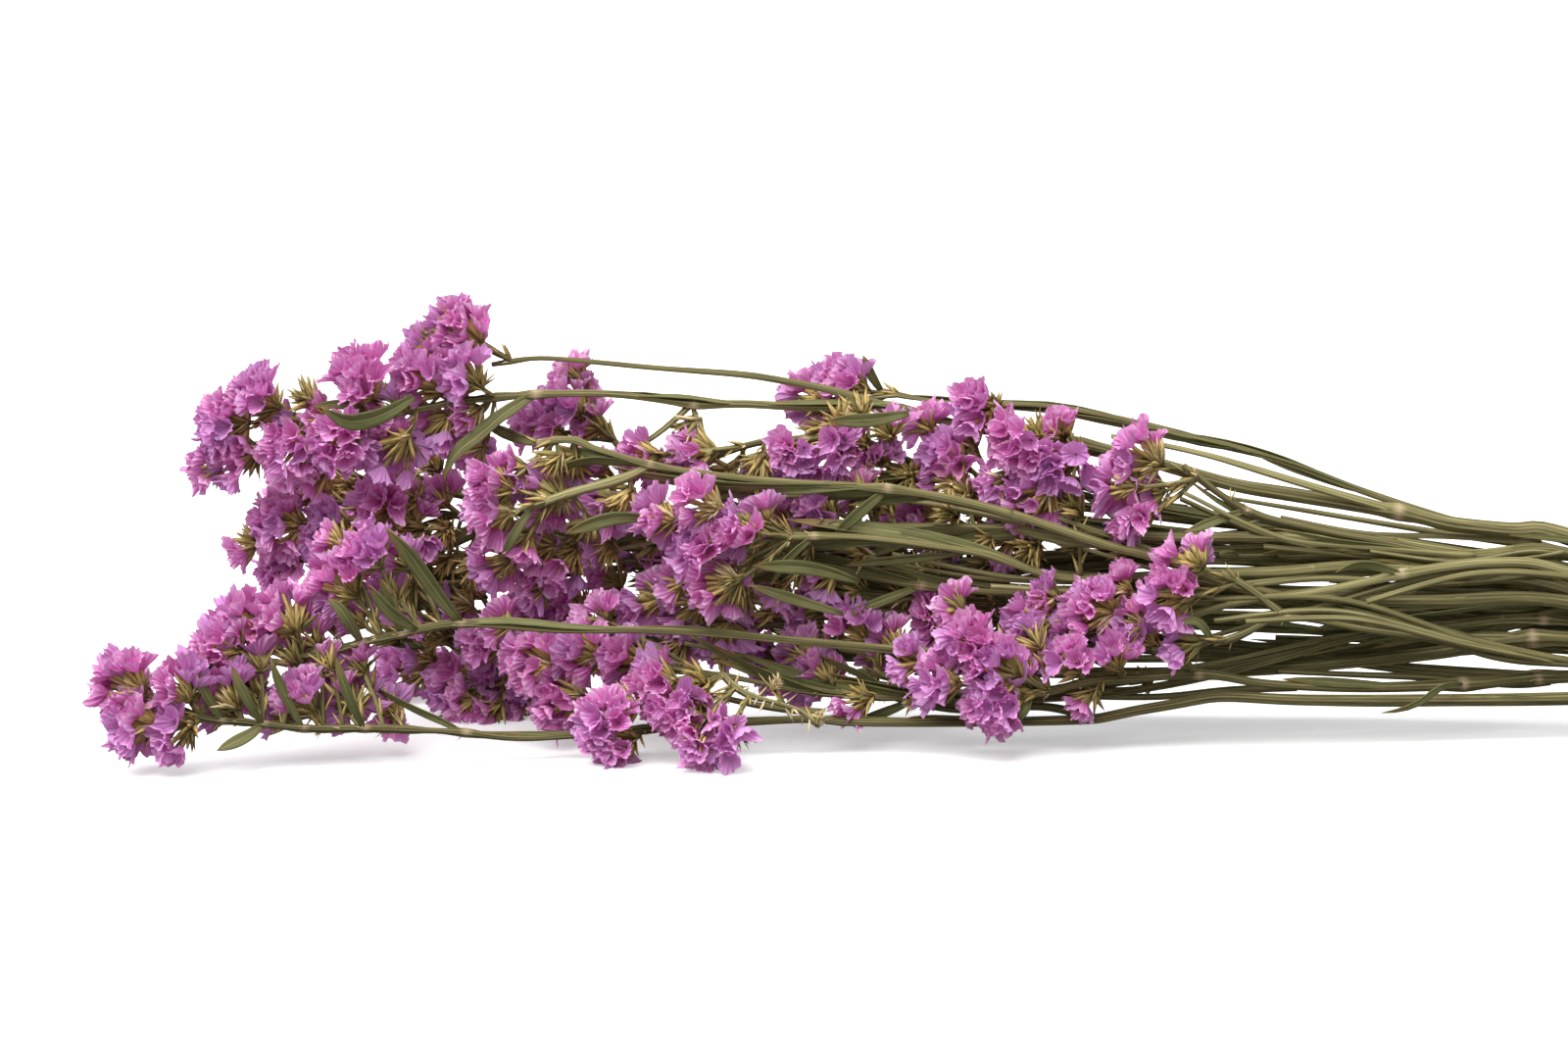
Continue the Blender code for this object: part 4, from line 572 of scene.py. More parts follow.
def lay_out():
    """All lines of the bunch and the middle of every cluster, before anything is pushed apart."""
    routes = []
    for number, (plant, data) in enumerate(PLANTS.items()):
        back, up = data["slot"]
        wave = math.sin(number * 2.4)
        end = slot_at(END_AT + END_UNEVEN * wave, END_PACK, END_HIGH, back, up)
        beyond = slot_at(FLARE_AT, TIE_PACK * FLARE_PACK, FLARE_HIGH, back, up)
        tie = slot_at(TIE_AT, TIE_PACK, TIE_HIGH, back, up)
        main = Route(plant, "main", [end, beyond, tie] + [at(point) for point in data["main"]],
                     (data["width"] / 2, data["width"] * MAIN_TIP))
        routes.append(main)
        for points in data.get("branches", []):
            routes.append(Route(plant, "branch", [at(point) for point in points],
                                (BRANCH_WIDTH / 2, BRANCH_WIDTH * BRANCH_TIP), main))
        if "side" in data:
            routes.append(Route(plant, "side", [at(point) for point in data["side"]],
                                (SIDE_WIDTH / 2, SIDE_WIDTH * SIDE_TIP), main))
        stems = [route for route in routes if route.plant == plant]
        for wide, *points in data.get("leaves", []):
            leaf = Route(plant, "leaf", [at(point) for point in points], (1.0, 1.0),
                         nearest_route(stems, at(points[0])))
            leaf.wide = wide
            routes.append(leaf)
    clusters = []
    for bloom, (plant, places) in BLOOMS.items():
        for place in places:
            seen, radius = at(place), float(place[3])
            stems = np.vstack([route.points for route in routes
                               if route.plant == plant and route.kind != "leaf"])
            away = seen - stems[nearest(stems, seen)[0]]
            far = np.linalg.norm(away)
            back = max(0.0, min(CLUSTER_SUNK * radius, far - CLUSTER_NEAR))
            clusters.append({"bloom": bloom, "plant": plant, "radius": radius,
                             "middle": seen - away / far * back})
    return routes, clusters


def push_apart(routes, clusters):
    """Shift the lines and clusters so that those of different plants keep clear of each other."""
    names = list(PLANTS)
    blooms = list(BLOOMS)
    sizes = [len(route.points) for route in routes]
    spans = np.cumsum([0] + sizes)
    place = np.vstack([route.points for route in routes]
                      + [cluster["middle"][None] for cluster in clusters])
    half = np.concatenate([route.half for route in routes]
                          + [[cluster["radius"] * CLUSTER_FIRM for cluster in clusters]])
    owner = np.concatenate([np.full(size, names.index(route.plant))
                            for size, route in zip(sizes, routes)]
                           + [[100 + blooms.index(cluster["bloom"]) for cluster in clusters]])
    rank = np.arange(len(place))
    home = place.copy()
    for turn in range(ROUNDS):
        if turn % SEARCH_EVERY == 0:
            order = np.argsort(place[:, 0])
            spot = place[order]
            reach = np.searchsorted(spot[:, 0], spot[:, 0] + SEARCH_ACROSS)
            first = np.repeat(rank, reach - rank - 1)
            second = np.concatenate([np.arange(number + 1, stop)
                                     for number, stop in enumerate(reach)])
            first, second = order[first], order[second]
            gaps = np.linalg.norm(place[first] - place[second], axis=1)
            gaps -= half[first] + half[second]
            keep = (owner[first] != owner[second]) & (gaps < SEARCH_GAP)
            first, second = first[keep], second[keep]
        apart = place[first] - place[second]
        far = np.linalg.norm(apart, axis=1)
        short = np.clip(half[first] + half[second] + CLEARANCE - far, 0, None)
        lean = apart * GIVE_WAY
        lean[:, 1] += np.where(lean[:, 1] >= 0, SIDESTEP, -SIDESTEP)
        lean /= np.linalg.norm(lean, axis=1)[:, None]
        move = lean * (0.5 * short)[:, None]
        np.add.at(place, first, move)
        np.add.at(place, second, -move)
        shift = place - home
        for start, stop, route in zip(spans, spans[1:], routes):
            part = shift[start:stop]
            if turn < ROUNDS - ROUGH_ROUNDS:
                part[1:-1] = 0.25 * part[:-2] + 0.5 * part[1:-1] + 0.25 * part[2:]
            if route.parent is not None:
                upper = spans[routes.index(route.parent)] + route.joint
                for step in range(min(4, len(part))):
                    part[step] += (shift[upper] - part[step]) * (1 - step / 4)
        place = home + shift
        place[:, 2] = np.maximum(place[:, 2], np.minimum(half * 0.5, FLOOR_LIFT))
    for start, stop, route in zip(spans, spans[1:], routes):
        route.points = place[start:stop]
    for cluster, middle in zip(clusters, place[spans[-1]:]):
        cluster["middle"] = middle


def frames(points, twist, rate):
    """Side and face directions at every point of a line, turning slowly along it."""
    out = []
    for number, tangent in enumerate(headings(points)):
        side = np.cross(tangent, (0, 1, 0))
        side /= np.linalg.norm(side)
        face = np.cross(tangent, side)
        turn = twist + rate * number
        out.append((side * math.cos(turn) + face * math.sin(turn),
                    face * math.cos(turn) - side * math.sin(turn)))
    return out


def tint(red, green, blue):
    """A linear colour from its everyday red, green and blue of 0 to 255."""
    return tuple(((part / 255 + 0.055) / 1.055) ** 2.4 if part > 10 else part / 255 / 12.92
                 for part in (red, green, blue))


def colour_setting(name, description, value):
    """A colour that the user may change."""
    return FloatVectorProperty(name=name, description=description, subtype="COLOR",
                               size=3, min=0.0, max=1.0, default=value)


def length_setting(name, description, millimetres):
    """A length in metres that the user may change."""
    return FloatProperty(name=name, description=description, unit="LENGTH", min=0.0,
                         precision=5, default=millimetres / MM)


def number_setting(name, description, value, low=0.0, **kind):
    """A number without a unit that the user may change."""
    return FloatProperty(name=name, description=description, min=low, default=value, **kind)


def count_setting(name, description, value, low=0):
    """A number of like pieces that the user may change."""
    return IntProperty(name=name, description=description, min=low, default=value)


def angle_setting(name, description, angle):
    """An angle that the user may change."""
    return FloatProperty(name=name, description=description, subtype="ANGLE", default=angle)


class StemSettings(bpy.types.PropertyGroup):
    """Sizes and colours of the stems, leaves and bracts."""
    wing: number_setting("Wing", "How far the wings widen a stem", 1.16, 1.0)
    slim: number_setting("Slim", "Width of a stem's tip, as a share of the packed one", 0.76)
    leaf_slim: number_setting("Slim leaves", "Width of a leaf, as a share of the packed one", 0.88)
    groove: number_setting("Groove", "Depth of the grooves, as a share", 0.28)
    swell: number_setting("Swell", "Widening of a stem where it branches", 0.30)
    loose: count_setting("Loose leaves", "Narrow leaves that lie along a stem", 9)
    deep: count_setting("Deep leaves", "Leaves of a stem in the shade of the heads", 9)
    strays: count_setting("Stray branches", "Thin branches beside a stem", 5)
    bracts: count_setting("Bracts", "Bracts in the tuft below a head", 18)
    bract_long: length_setting("Bract length", "Length of a bract", 8.4)
    bract_wide: length_setting("Bract width", "Width of a bract", 2.1)
    leaf_thick: length_setting("Leaf thickness", "Thickness of a leaf", 0.35)
    # The light colour is the ridges' own paler colour and partly a painted highlight.
    light: colour_setting("Stem light", "Ridges of a stem", tint(176, 170, 122))
    middle: colour_setting("Stem middle", "Sides of a stem", tint(124, 116, 74))
    # The dark colour is painted shade in the grooves; leaves also take it for their darker fibre
    # streaks.
    dark: colour_setting("Stem dark", "Grooves of a stem", tint(42, 37, 20))
    scar: colour_setting("Node", "Dry joints and cut ends", tint(186, 164, 132))
    leaf: colour_setting("Leaf", "Blade of a leaf", tint(92, 94, 54))
    leaf_pale: colour_setting("Leaf pale", "Ribs and edges of a leaf", tint(142, 136, 92))
    bract: colour_setting("Bract", "Straw of a bract", tint(194, 168, 104))
    bract_dark: colour_setting("Bract dark", "Foot of a bract", tint(86, 64, 36))


class BloomSettings(bpy.types.PropertyGroup):
    """Sizes and colours of the papery heads."""
    sprigs: count_setting("Sprigs", "Sprigs in a head of middle size", 6, 1)
    florets: count_setting("Florets", "Calyces on a sprig", 4, 1)
    spent: number_setting("Spent", "Share of the outer sprigs that are bracts alone", 0.26,
                          max=1.0, subtype="FACTOR")
    mouth: length_setting("Mouth", "Width of an open calyx", 9.4)
    high: length_setting("Height", "Height of the papery part of a calyx", 5.8)
    ruffle: number_setting("Ruffle", "Depth of the waves and lobes of the rim", 1.0)
    spread: angle_setting("Spread", "Lean of the outer sprigs from the axis of their head",
                          math.radians(54))
    # The rim colour is partly the paper's own pale edge and partly a painted highlight; the lighter
    # streaks take it too.
    rim: colour_setting("Rim", "Edge of a calyx", tint(252, 216, 243))
    petal: colour_setting("Petal", "Middle of a calyx", tint(236, 150, 216))
    # The throat colour is partly the paper's own deeper magenta and partly painted shade inside the
    # calyx; the darker veins and the darker calyces take it too.
    throat: colour_setting("Throat", "Inside of a calyx", tint(196, 74, 158))
    lavender: colour_setting("Lavender", "Faded calyces", tint(214, 170, 224))


class TieSettings(bpy.types.PropertyGroup):
    """Sizes and colours of the raffia tie."""
    strands: count_setting("Strands", "Turns of raffia side by side", 5, 1)
    strand_wide: length_setting("Strand width", "Width of a strand", 1.3)
    straw: colour_setting("Straw", "Light fibres", tint(206, 182, 128))
    straw_dark: colour_setting("Dark straw", "Dark fibres", tint(140, 108, 62))


class StageSettings(bpy.types.PropertyGroup):
    """Camera, floor and light."""
    distance: length_setting("Distance", "From the eye to the bunch", EYE)
    look_down: angle_setting("Look down", "Angle of the view below the horizon",
                             math.atan(LOOK_DOWN))
    seen: length_setting("Seen width", "Width of the picture at the bunch", 480.0)
    daylight: number_setting("Daylight", "Strength of the light all round", 0.74)
    key: number_setting("Key", "Strength of the high light from the front left", 4.0)
    soft: angle_setting("Softness", "Width of the high light in the sky", math.radians(60))
    floor: colour_setting("Floor", "Plain pale floor", (0.9, 0.9, 0.9))
    glow: number_setting("Floor glow", "Light that the lit floor gives off", 0.38)


class Wire:
    """A value in a node tree. Arithmetic on it adds Math nodes."""

    def __init__(self, wiring, socket):
        self.wiring = wiring
        self.socket = socket

    def math(self, operation, *others):
        node = self.wiring.node("ShaderNodeMath", {"operation": operation}, **{
            str(number): value for number, value in enumerate((self, *others))})
        return Wire(self.wiring, node.outputs[0])

    def __add__(self, other):
        return self.math("ADD", other)

    def __sub__(self, other):
        return self.math("SUBTRACT", other)

    def __rsub__(self, other):
        return (self * -1.0).math("ADD", other)

    def __mul__(self, other):
        return self.math("MULTIPLY", other)

    def clamp(self):
        return self.math("MINIMUM", 1.0).math("MAXIMUM", 0.0)

    __radd__ = __add__
    __rmul__ = __mul__


class Wiring:
    """A node tree that is wired by calls."""

    def __init__(self, tree):
        self.tree = tree

    def node(self, kind, settings=None, **inputs):
        """A node of that type, with its settings made first and then its sockets linked or set."""
        node = self.tree.nodes.new(kind)
        for key, value in (settings or {}).items():
            setattr(node, key, value)
        for key, value in inputs.items():
            socket = node.inputs[int(key) if key.isdigit() else key.replace("_", " ")]
            self.feed(socket, value)
        return node

    def feed(self, socket, value):
        """Link a value to a socket, or set it there. A colour socket also takes three numbers."""
        if isinstance(value, Wire):
            self.tree.links.new(value.socket, socket)
        elif socket.type == "RGBA":
            socket.default_value = (*value, 1.0)
        else:
            socket.default_value = value

    def place(self, kind="Object"):
        return Wire(self, self.node("ShaderNodeTexCoord").outputs[kind])

    def dot(self, vector, other):
        """How far a vector reaches along another one."""
        node = self.node("ShaderNodeVectorMath", {"operation": "DOT_PRODUCT"},
                         **{"0": vector, "1": other})
        return Wire(self, node.outputs["Value"])

    def between(self, value, low, high):
        """A value stretched so that low becomes 0 and high becomes 1, held within them."""
        node = self.node("ShaderNodeMapRange", {"clamp": True}, Value=value, From_Min=low,
                         From_Max=high)
        return Wire(self, node.outputs["Result"])


class Finish(Wiring):
    """A procedural material with one principled shader."""

    def __init__(self, name, roughness, specular):
        self.material = bpy.data.materials.new(name)
        self.material.use_nodes = True
        super().__init__(self.material.node_tree)
        self.shader = self.tree.nodes["Principled BSDF"]
        self.shader.inputs["Roughness"].default_value = roughness
        self.shader.inputs["Specular IOR Level"].default_value = specular

    def attribute(self, name, vector=False):
        node = self.node("ShaderNodeAttribute", {"attribute_name": name})
        return Wire(self, node.outputs["Vector" if vector else "Fac"])

    def noise(self, vector, scale, detail=2.0, roughness=0.5):
        node = self.node("ShaderNodeTexNoise", Vector=vector, Scale=scale, Detail=detail,
                         Roughness=roughness)
        return Wire(self, node.outputs["Fac"])

    def speckle(self, scale):
        """Blotches that ignore the shape of the piece."""
        return self.noise(self.place(), scale)

    def fibres(self, scale, detail, roughness):
        """Long streaks that follow a stem, a leaf or a pleat."""
        return self.noise(self.attribute("flow", vector=True), scale, detail, roughness)

    def mix(self, share, low, high):
        """A colour between two others."""
        node = self.node("ShaderNodeMix", {"data_type": "RGBA"})
        self.feed(node.inputs["Factor"], share)
        self.feed(node.inputs[6], low)
        self.feed(node.inputs[7], high)
        return Wire(self, node.outputs[2])

    def paint(self, colour, roughness):
        self.feed(self.shader.inputs["Base Color"], colour)
        self.feed(self.shader.inputs["Roughness"], roughness)

    def emboss(self, height, strength, distance):
        node = self.node("ShaderNodeBump", Strength=strength, Distance=distance, Height=height)
        self.tree.links.new(node.outputs["Normal"], self.shader.inputs["Normal"])

    def glow_through(self, colour, share):
        """Let light through a thin sheet: part of the shader becomes translucent."""
        thin = self.node("ShaderNodeBsdfTranslucent", Color=colour)
        both = self.node("ShaderNodeMixShader", Fac=share)
        output = self.tree.nodes["Material Output"]
        self.tree.links.new(self.shader.outputs[0], both.inputs[1])
        self.tree.links.new(thin.outputs[0], both.inputs[2])
        self.tree.links.new(both.outputs[0], output.inputs["Surface"])


def stem_finish(look):
    """Ribbed olive stems: pale ridges, partly their own colour and partly a painted highlight,
    grooves painted dark as shade, long fibres and tan joints.
    """
    made = Finish("dry_stem", 0.72, 0.25)
    fibres = made.fibres(1.0, 3.0, 0.6)
    patches = made.speckle(45.0)
    # Painted shade and highlight: groove corners take the dark colour as shade and ridge corners the
    # light one, which is partly their own paler colour and partly a painted highlight; fibres and
    # each stem's tone vary the mix.
    ridge = made.attribute("ridge") * 0.55 + fibres * 0.9 + made.attribute("tone") * 0.35
    ridge = (ridge - 0.42).clamp()
    colour = made.mix(made.between(ridge, 0.0, 0.5), look.dark, look.middle)
    colour = made.mix(made.between(ridge, 0.45, 1.0), colour, look.light)
    colour = made.mix(made.between(patches, 0.58, 0.78) * 0.35, colour, tint(122, 98, 58))
    scar = made.between(made.attribute("scar") + fibres * 0.9, 0.72, 1.2)
    colour = made.mix(scar, colour, look.scar)
    made.paint(colour, 0.6 + fibres * 0.25)
    made.emboss(fibres, 0.35, 0.0004)
    return made.material


def leaf_finish(look):
    """Olive leaf blades with a pale midrib, long fibres and dry brown tips."""
    made = Finish("dry_leaf", 0.7, 0.25)
    fibres = made.fibres(1.0, 3.0, 0.6)
    mottle = made.speckle(120.0)
    rib = 1.0 - made.between(made.attribute("across").math("ABSOLUTE"), 0.04, 0.18)
    pale = (rib * 0.7 + fibres * 1.1 + made.attribute("tone") * 0.3 - 0.55).clamp()
    colour = made.mix(pale, look.leaf, look.leaf_pale)
    colour = made.mix(made.between(fibres, 0.45, 0.3) * 0.6, colour, look.dark)
    dry = made.between(made.attribute("along") + mottle * 0.5, 1.02, 1.35)
    colour = made.mix(dry, colour, tint(134, 104, 60))
    made.paint(colour, 0.58 + mottle * 0.25)
    made.emboss(fibres + rib, 0.3, 0.0003)
    return made.material


def bract_finish(look):
    """Straw bracts and calyx tubes: brown feet, ochre blades, paler keels, some cream."""
    made = Finish("straw_bract", 0.66, 0.3)
    tone = made.attribute("tone")
    grain = made.speckle(900.0)
    foot = made.between(made.attribute("along") + grain * 0.35, 0.12, 0.75)
    colour = made.mix(foot, look.bract_dark, look.bract)
    green = made.between(tone + grain * 0.2, 0.62, 0.9) * made.between(tone, 1.2, 1.1)
    colour = made.mix(green * 0.75, colour, look.leaf)
    colour = made.mix(made.between(tone + grain * 0.3, 0.34, 0.1) * 0.8, colour, tint(58, 40, 22))
    colour = made.mix(made.attribute("ridge") * 0.3, colour, tint(214, 192, 122))
    colour = made.mix(made.between(tone, 1.1, 1.3) * 0.8, colour, tint(226, 204, 162))
    made.paint(colour, 0.55 + grain * 0.25)
    made.emboss(grain, 0.3, 0.0002)
    return made.material


def calyx_finish(look):
    """Papery calyces: magenta throats, partly painted shade; orchid pleats with painted shade and
    highlight; pale ragged rims, partly a painted highlight; some faded to lavender.
    """
    made = Finish("papery_calyx", 0.62, 0.25)
    tone = made.attribute("tone")
    mottle = made.noise(made.place(), 420.0, 3.0, 0.6)
    streak = made.fibres(0.5, 3.0, 0.75)
    # Painted shade and highlight: the throat's deeper magenta is partly the paper's own colour and
    # partly painted shade, the pleat value paints the folds darker and lighter as shade and
    # highlight, and the pale rim is partly its own colour and partly a painted highlight.
    depth = (made.attribute("rim") + mottle * 0.5 - 0.25 + made.attribute("pleat") * 0.2).clamp()
    colour = made.mix(made.between(depth, 0.05, 0.5), look.throat, look.petal)
    colour = made.mix(made.between(depth + streak * 0.4, 0.72, 1.25), colour, look.rim)
    faded = made.between(tone + mottle * 0.35, 0.6, 0.95)
    colour = made.mix(faded * 0.85, colour, look.lavender)
    deep = made.between(tone + mottle * 0.3, 0.42, 0.15)
    colour = made.mix(deep * 0.5, colour, look.throat)
    colour = made.mix(made.between(streak, 0.47, 0.32) * 0.75, colour, look.throat)
    colour = made.mix(made.between(streak, 0.55, 0.68) * 0.6, colour, look.rim)
    made.paint(colour, 0.5 + mottle * 0.25)
    made.emboss(streak, 0.7, 0.0007)
    made.glow_through(look.petal, 0.33)
    return made.material


def raffia_finish(look):
    """Straw-coloured raffia with long fibres."""
    made = Finish("raffia", 0.62, 0.35)
    fibres = made.fibres(1.0, 4.0, 0.65)
    patches = made.speckle(160.0)
    colour = made.mix(made.between(fibres, 0.3, 0.65), look.straw_dark, look.straw)
    colour = made.mix(made.between(patches, 0.55, 0.8) * 0.4, colour, look.straw_dark)
    made.paint(colour, 0.5 + fibres * 0.25)
    made.emboss(fibres, 0.4, 0.0003)
    return made.material


class Piece:
    """A mesh in the making, in millimetres, with the values that finishes read at each point."""

    VALUES = ("tone", "ridge", "scar", "along", "across", "rim", "pleat")

    def __init__(self):
        self.bm = bmesh.new()
        self.flow = self.bm.verts.layers.float_vector.new("flow")
        self.layers = {name: self.bm.verts.layers.float.new(name) for name in self.VALUES}

    def set(self, vert, place, flow=None, **values):
        """Put a point in its place and write its values."""
        vert.co = place
        if flow is not None:
            vert[self.flow] = flow
        for name, value in values.items():
            vert[self.layers[name]] = value

    def tube(self, corners, stations, shape, slot, closed=True):
        """A skin through stations. shape(station, corner) is a point's place, flow and values."""
        bm = self.bm
        ring = bmesh.ops.create_circle(bm, cap_ends=False, segments=corners, radius=1.0)["verts"]
        edges = list(dict.fromkeys(edge for vert in ring for edge in vert.link_edges))
        first = edges
        faces = []
        for station in range(stations):
            if station:
                grown = bmesh.ops.extrude_edge_only(bm, edges=edges)["geom"]
                fresh = {item for item in grown if isinstance(item, bmesh.types.BMVert)}
                ring = [next(edge.other_vert(vert) for edge in vert.link_edges
                             if edge.other_vert(vert) in fresh) for vert in ring]
                edges = [item for item in grown if isinstance(item, bmesh.types.BMEdge)
                         and all(vert in fresh for vert in item.verts)]
                faces += [item for item in grown if isinstance(item, bmesh.types.BMFace)]
            for corner, vert in enumerate(ring):
                place, flow, values = shape(station, corner)
                self.set(vert, place, flow, **values)
        for end in (first, edges) if closed else ():
            faces += bmesh.ops.contextual_create(bm, geom=end)["faces"]
        for face in faces:
            face.material_index = slot

    def stamp(self, template, spot, way, roll, size, tone, long=None):
        """A copy of a finished mesh, standing on a spot along a way, with a tone of its own."""
        matrix = (Matrix.Translation(Vector(spot)) @ look_at(way, roll)
                  @ Matrix.Diagonal((size, size, long or size, 1.0)))
        count = len(self.bm.verts)
        self.bm.from_mesh(template)
        self.bm.verts.ensure_lookup_table()
        fresh = self.bm.verts[count:]
        bmesh.ops.transform(self.bm, matrix=matrix, verts=fresh)
        for vert in fresh:
            vert[self.layers["tone"]] = tone

    def absorb(self, part):
        """Take in a smaller piece. Operators are quick on a small mesh and slow on a large one."""
        mesh = part.template("part")
        self.bm.from_mesh(mesh)
        bpy.data.meshes.remove(mesh)

    def template(self, name):
        """A mesh to copy from."""
        mesh = bpy.data.meshes.new(name)
        self.bm.to_mesh(mesh)
        self.bm.free()
        return mesh

    def finish(self, node, materials):
        """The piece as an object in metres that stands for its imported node."""
        for vert in self.bm.verts:
            vert.co.z = max(vert.co.z, FLOOR_GAP)
        bmesh.ops.scale(self.bm, vec=(1 / MM,) * 3, verts=self.bm.verts)
        mesh = self.template(node + "_dry")
        for material in materials:
            mesh.materials.append(material)
        mesh.shade_smooth()
        obj = bpy.data.objects.new(mesh.name, mesh)
        bpy.context.scene.collection.objects.link(obj)
        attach(obj, "root")
        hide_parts(node)


STEM, LEAF, STRAW = range(3)       # material slots of a plant
PAPER, TUBE = range(2)             # material slots of a bloom


def look_at(way, roll=0.0):
    """The turn that carries +Z onto a direction, after a roll about it."""
    turn = Vector((0, 0, 1)).rotation_difference(Vector(way)) @ Quaternion((0, 0, 1), roll)
    return turn.to_matrix().to_4x4()


def lean(way, angle, turn):
    """A direction tipped away from another by an angle, towards a turn about it."""
    side = Vector(way).orthogonal().normalized()
    side.rotate(Quaternion(Vector(way), turn))
    return Vector(way) * math.cos(angle) + side * math.sin(angle)


def bell(distance, width):
    """1 at no distance, falling smoothly to 0."""
    return math.exp(-(distance / width) ** 2)


def wave_pair(along, phase):
    """The uneven width of a wing: a long wave and a short one."""
    return math.sin(along / 19 + phase) + 0.6 * math.sin(along / 7.3 + 2 * phase)


def ribbed(piece, points, half, joints, rng, look, corners=TWIG_CORNERS, flat=TWIG_FLAT,
           cut=False, forks=()):
    """A ribbed stem with two wavy wings along a line, swollen at joints and scarred at forks."""
    along = measured(points)
    facings = frames(points, rng.uniform(0.2, 0.9), WING_TURN * THREAD / STEP)
    phase, tone, shift = rng.uniform(0, ROUND), rng.random(), rng.uniform(0, 400)
    cuts = [1 - look.groove * rng.uniform(0.3, 1.5) if corner % 2 else rng.uniform(0.92, 1.04)
            for corner in range(corners)]
    # Ridge corners get high values and groove corners low ones: in the finish the grooves are painted
    # with shade and the ridges paler, partly with a painted highlight.
    pale = [rng.uniform(0.0, 0.25) if corner % 2 else rng.uniform(0.45, 1.1)
            for corner in range(corners)]
    apart = [rng.uniform(-0.13, 0.13) for _ in range(corners)]

    def near(marks, station, reach):
        """1 at a mark along the line, falling to 0 away from all of them."""
        return max((bell(along[station] - along[mark], reach) for mark in marks), default=0.0)

    def shape(station, corner):
        side, face = facings[station]
        turn = math.tau * corner / corners + apart[corner]
        edge = abs(math.cos(turn)) ** 6
        knot = near(joints, station, JOINT_REACH)
        grow = half[station] * (1 + look.swell * knot) * cuts[corner]
        wing = 1 + (look.wing - 1) * edge * (1 + 0.35 * wave_pair(along[station], phase))
        place = points[station] + side * grow * wing * math.cos(turn)
        place = place + face * grow * flat * (1 + 0.3 * knot) * math.sin(turn)
        scar = 1.0 if cut and station == 0 else near(forks, station, SCAR_REACH) * 0.62
        flow = ((along[station] + shift) * 0.055, math.cos(turn) * 2.2, math.sin(turn) * 2.2)
        return place, flow, {"ridge": pale[corner], "tone": tone, "scar": scar}

    piece.tube(corners, len(points), shape, STEM)


def blade(piece, points, wide, rng, look, roll=0.3):
    """A pointed leaf along a line: folded at its midrib, waved at its edges."""
    length = measured(points)[-1]
    path = curve(list(points), length / LEAF_STEPS)
    facings = frames(path, rng.uniform(-roll, roll), rng.uniform(-0.1, 0.1))
    fold, phase, tone = rng.uniform(0.15, 0.4), rng.uniform(0, ROUND), rng.random()
    droop = rng.uniform(-0.09, 0.09) * min(length, 25)
    last = len(path) - 1
    part = Piece()
    bmesh.ops.create_grid(part.bm, x_segments=LEAF_STRIPS, y_segments=last, size=0.5)
    for vert in part.bm.verts:
        across, along = vert.co.x * 2, vert.co.y + 0.5
        low = min(int(along * last), last - 1)
        share = along * last - low
        side, face = facings[low]
        sag = face * droop * math.sin(HALF_ROUND * along)
        centre = path[low] * (1 - share) + path[low + 1] * share + sag
        spread = wide / 2 * max(0.03, (0.34 + 1.1 * along ** 0.8) * (1 - along ** 3.2) ** 0.9)
        wave = 0.10 * math.sin(along * 11 + phase + (2 if across > 0 else 0)) * across ** 2
        lift = spread * (abs(across) * fold + wave)
        flow = (across * 3.2 + phase, along * length * 0.09, 0)
        part.set(vert, centre + side * across * spread + face * lift, flow,
                 across=across, along=along, tone=tone)
    bmesh.ops.remove_doubles(part.bm, verts=part.bm.verts, dist=0.05)
    bmesh.ops.solidify(part.bm, geom=part.bm.faces[:], thickness=look.leaf_thick * MM)
    bmesh.ops.recalc_face_normals(part.bm, faces=part.bm.faces)
    for face in part.bm.faces:
        face.material_index = LEAF
    piece.absorb(part)


def bract_template(kind, rng, look):
    """A pointed straw bract along +Z from the origin, creased like a keel, curved like a claw."""
    part = Piece()
    long, wide = look.bract_long * MM, look.bract_wide * MM
    bend, twist = rng.uniform(-0.2, 1.8), rng.uniform(-0.5, 0.5)

    def shape(station, corner):
        share = station / (len(BRACT_WIDTHS) - 1)
        turn = math.tau * corner / 3 + math.pi / 2
        half = BRACT_WIDTHS[station] * wide / 2
        place = Vector((half * math.cos(turn), 0.4 * half * math.sin(turn) + bend * share ** 2,
                        long * share))
        place.rotate(Quaternion((0, 0, 1), twist * share))
        return place, None, {"along": share, "ridge": float(corner == 0)}

    part.tube(3, len(BRACT_WIDTHS), shape, STRAW)
    bmesh.ops.recalc_face_normals(part.bm, faces=part.bm.faces)
    return part.template(f"bract_{kind}")


def straw_template(look):
    """The straw foot of a calyx along +Z, a slim cone one millimetre long."""
    part = Piece()

    def shape(station, corner):
        turn = math.tau * corner / TUBE_CORNERS
        radius = (TUBE_FOOT, look.mouth * MM * TUBE_TOP)[station]
        place = (radius * math.cos(turn), radius * math.sin(turn), station)
        return place, None, {"along": float(station), "ridge": float(corner % 2)}

    part.tube(TUBE_CORNERS, 2, shape, TUBE, closed=False)
    return part.template("straw")


